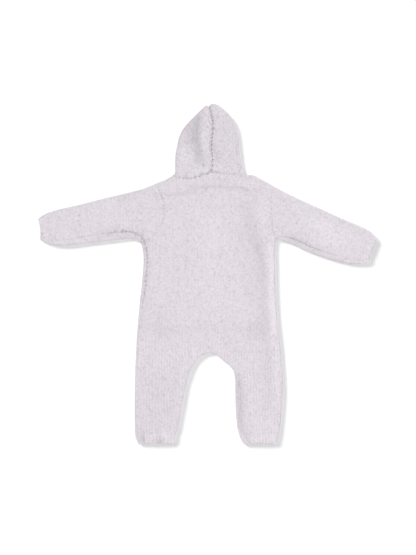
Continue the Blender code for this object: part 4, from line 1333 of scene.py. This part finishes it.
def studio():
    """A plain pale floor seen from straight above, under soft light from the upper left."""
    bpy.ops.mesh.primitive_plane_add(size=FLOOR_SIZE, location=(0, 0, 0))
    floor = bpy.context.object
    floor.name = "floor"
    finish = {"Base Color": FLOOR_COLOUR, "Roughness": 0.9, "Specular IOR Level": 0.0}
    floor.data.materials.append(finished("floor", finish))

    camera = bpy.data.cameras.new("camera")
    camera.sensor_fit = "VERTICAL"
    camera.sensor_height = SENSOR
    camera.lens = SENSOR * CAMERA_UP / VIEW_HEIGHT
    scene = bpy.context.scene
    scene.camera = added("camera", camera)
    scene.camera.location = (*VIEW_CENTRE, CAMERA_UP)

    for name, strength, angle, direction, shadow in SUNS:
        sun = bpy.data.lights.new(name, "SUN")
        sun.energy = strength
        sun.angle = math.radians(angle)
        sun.use_shadow = shadow
        added(name, sun).rotation_euler = Vector(direction).to_track_quat("Z", "Y").to_euler()

    world = bpy.data.worlds.new("studio")
    world.use_nodes = True
    light = world.node_tree.nodes["Background"].inputs
    light["Color"].default_value = (1, 1, 1, 1)
    light["Strength"].default_value = AMBIENT
    scene.world = world
    scene.view_settings.view_transform = "Standard"
    scene.view_settings.look = "None"


# The flat cut of each piece: its width, all round where it wraps the edge, its length and its area, in
# metres, and what it lies on above the floor
CUTS = {
    "back": (0.300, 0.545, 0.121, ["front_left", "front_right"]),
    "front_left": (0.160, 0.540, 0.0575, []),
    "front_right": (0.148, 0.540, 0.0546, []),
    "sleeve_left": (0.251, 0.246, 0.0390, []),
    "sleeve_right": (0.244, 0.254, 0.0356, []),
    "hood_left": (0.155, 0.178, 0.0175, []),
    "hood_right": (0.143, 0.182, 0.0149, []),
    "button_band": (0.024, 0.280, 0.0060, []),
}


def declare(piece, node):
    """Attach a piece of cloth to the root and hide the CAD node it stands for; its cut is read but not
    used.
    """
    width, length, area, below = CUTS[node]
    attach(piece, "root")
    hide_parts(node)


def dress():
    """Every piece of cloth, in place of its CAD node."""
    teddy = cloth_material("teddy_cloth", CLOTH_COLOUR, PILE_GAP_PAINTED_SHADE)
    hooded = cloth_material("teddy_cloth_hood", HOOD_COLOUR, HOOD_PILE_GAP_PAINTED_SHADE)
    left_leg = INSEAM[:CROTCH_FOOT + 1].kept_off(first=False)
    right_leg = INSEAM[CROTCH_FOOT:].kept_off(last=False)[::-1]
    sheets = {
        "back": back(),
        "front_left": front(-1, SHOULDER_L, SIDE_L, left_leg, ARMHOLES_LEFT[1]),
        "front_right": front(1, SHOULDER_R, SIDE_R, right_leg, ARMHOLES_RIGHT[1]),
        "sleeve_left": sleeve(SLEEVE_L_TOP, SLEEVE_L_UNDER, ARMHOLES_LEFT, WRIST_LEFT),
        "sleeve_right": sleeve(SLEEVE_R_TOP, SLEEVE_R_UNDER, ARMHOLES_RIGHT, WRIST_RIGHT),
        "hood_left": hood(-1, HOOD_LEFT),
        "hood_right": hood(1, HOOD_RIGHT),
        "button_band": button_band(),
    }
    for number, (node, sheet) in enumerate(sheets.items()):
        material = hooded if node.startswith("hood") else teddy
        has_pockets = node == "button_band"
        declare(cloth(f"cloth_{node}", sheet, material, STITCH_TURN * number, has_pockets), node)


def finish_buttons():
    """The CAD buttons stay, with a finish of their own."""
    finish = finished("button", {"Base Color": BUTTON_COLOUR, "Roughness": 0.3})
    for number in range(BUTTON_COUNT):
        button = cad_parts[f"button_{number + 1}"]
        button.data.materials.clear()
        button.data.materials.append(finish)


dress()
finish_buttons()
studio()
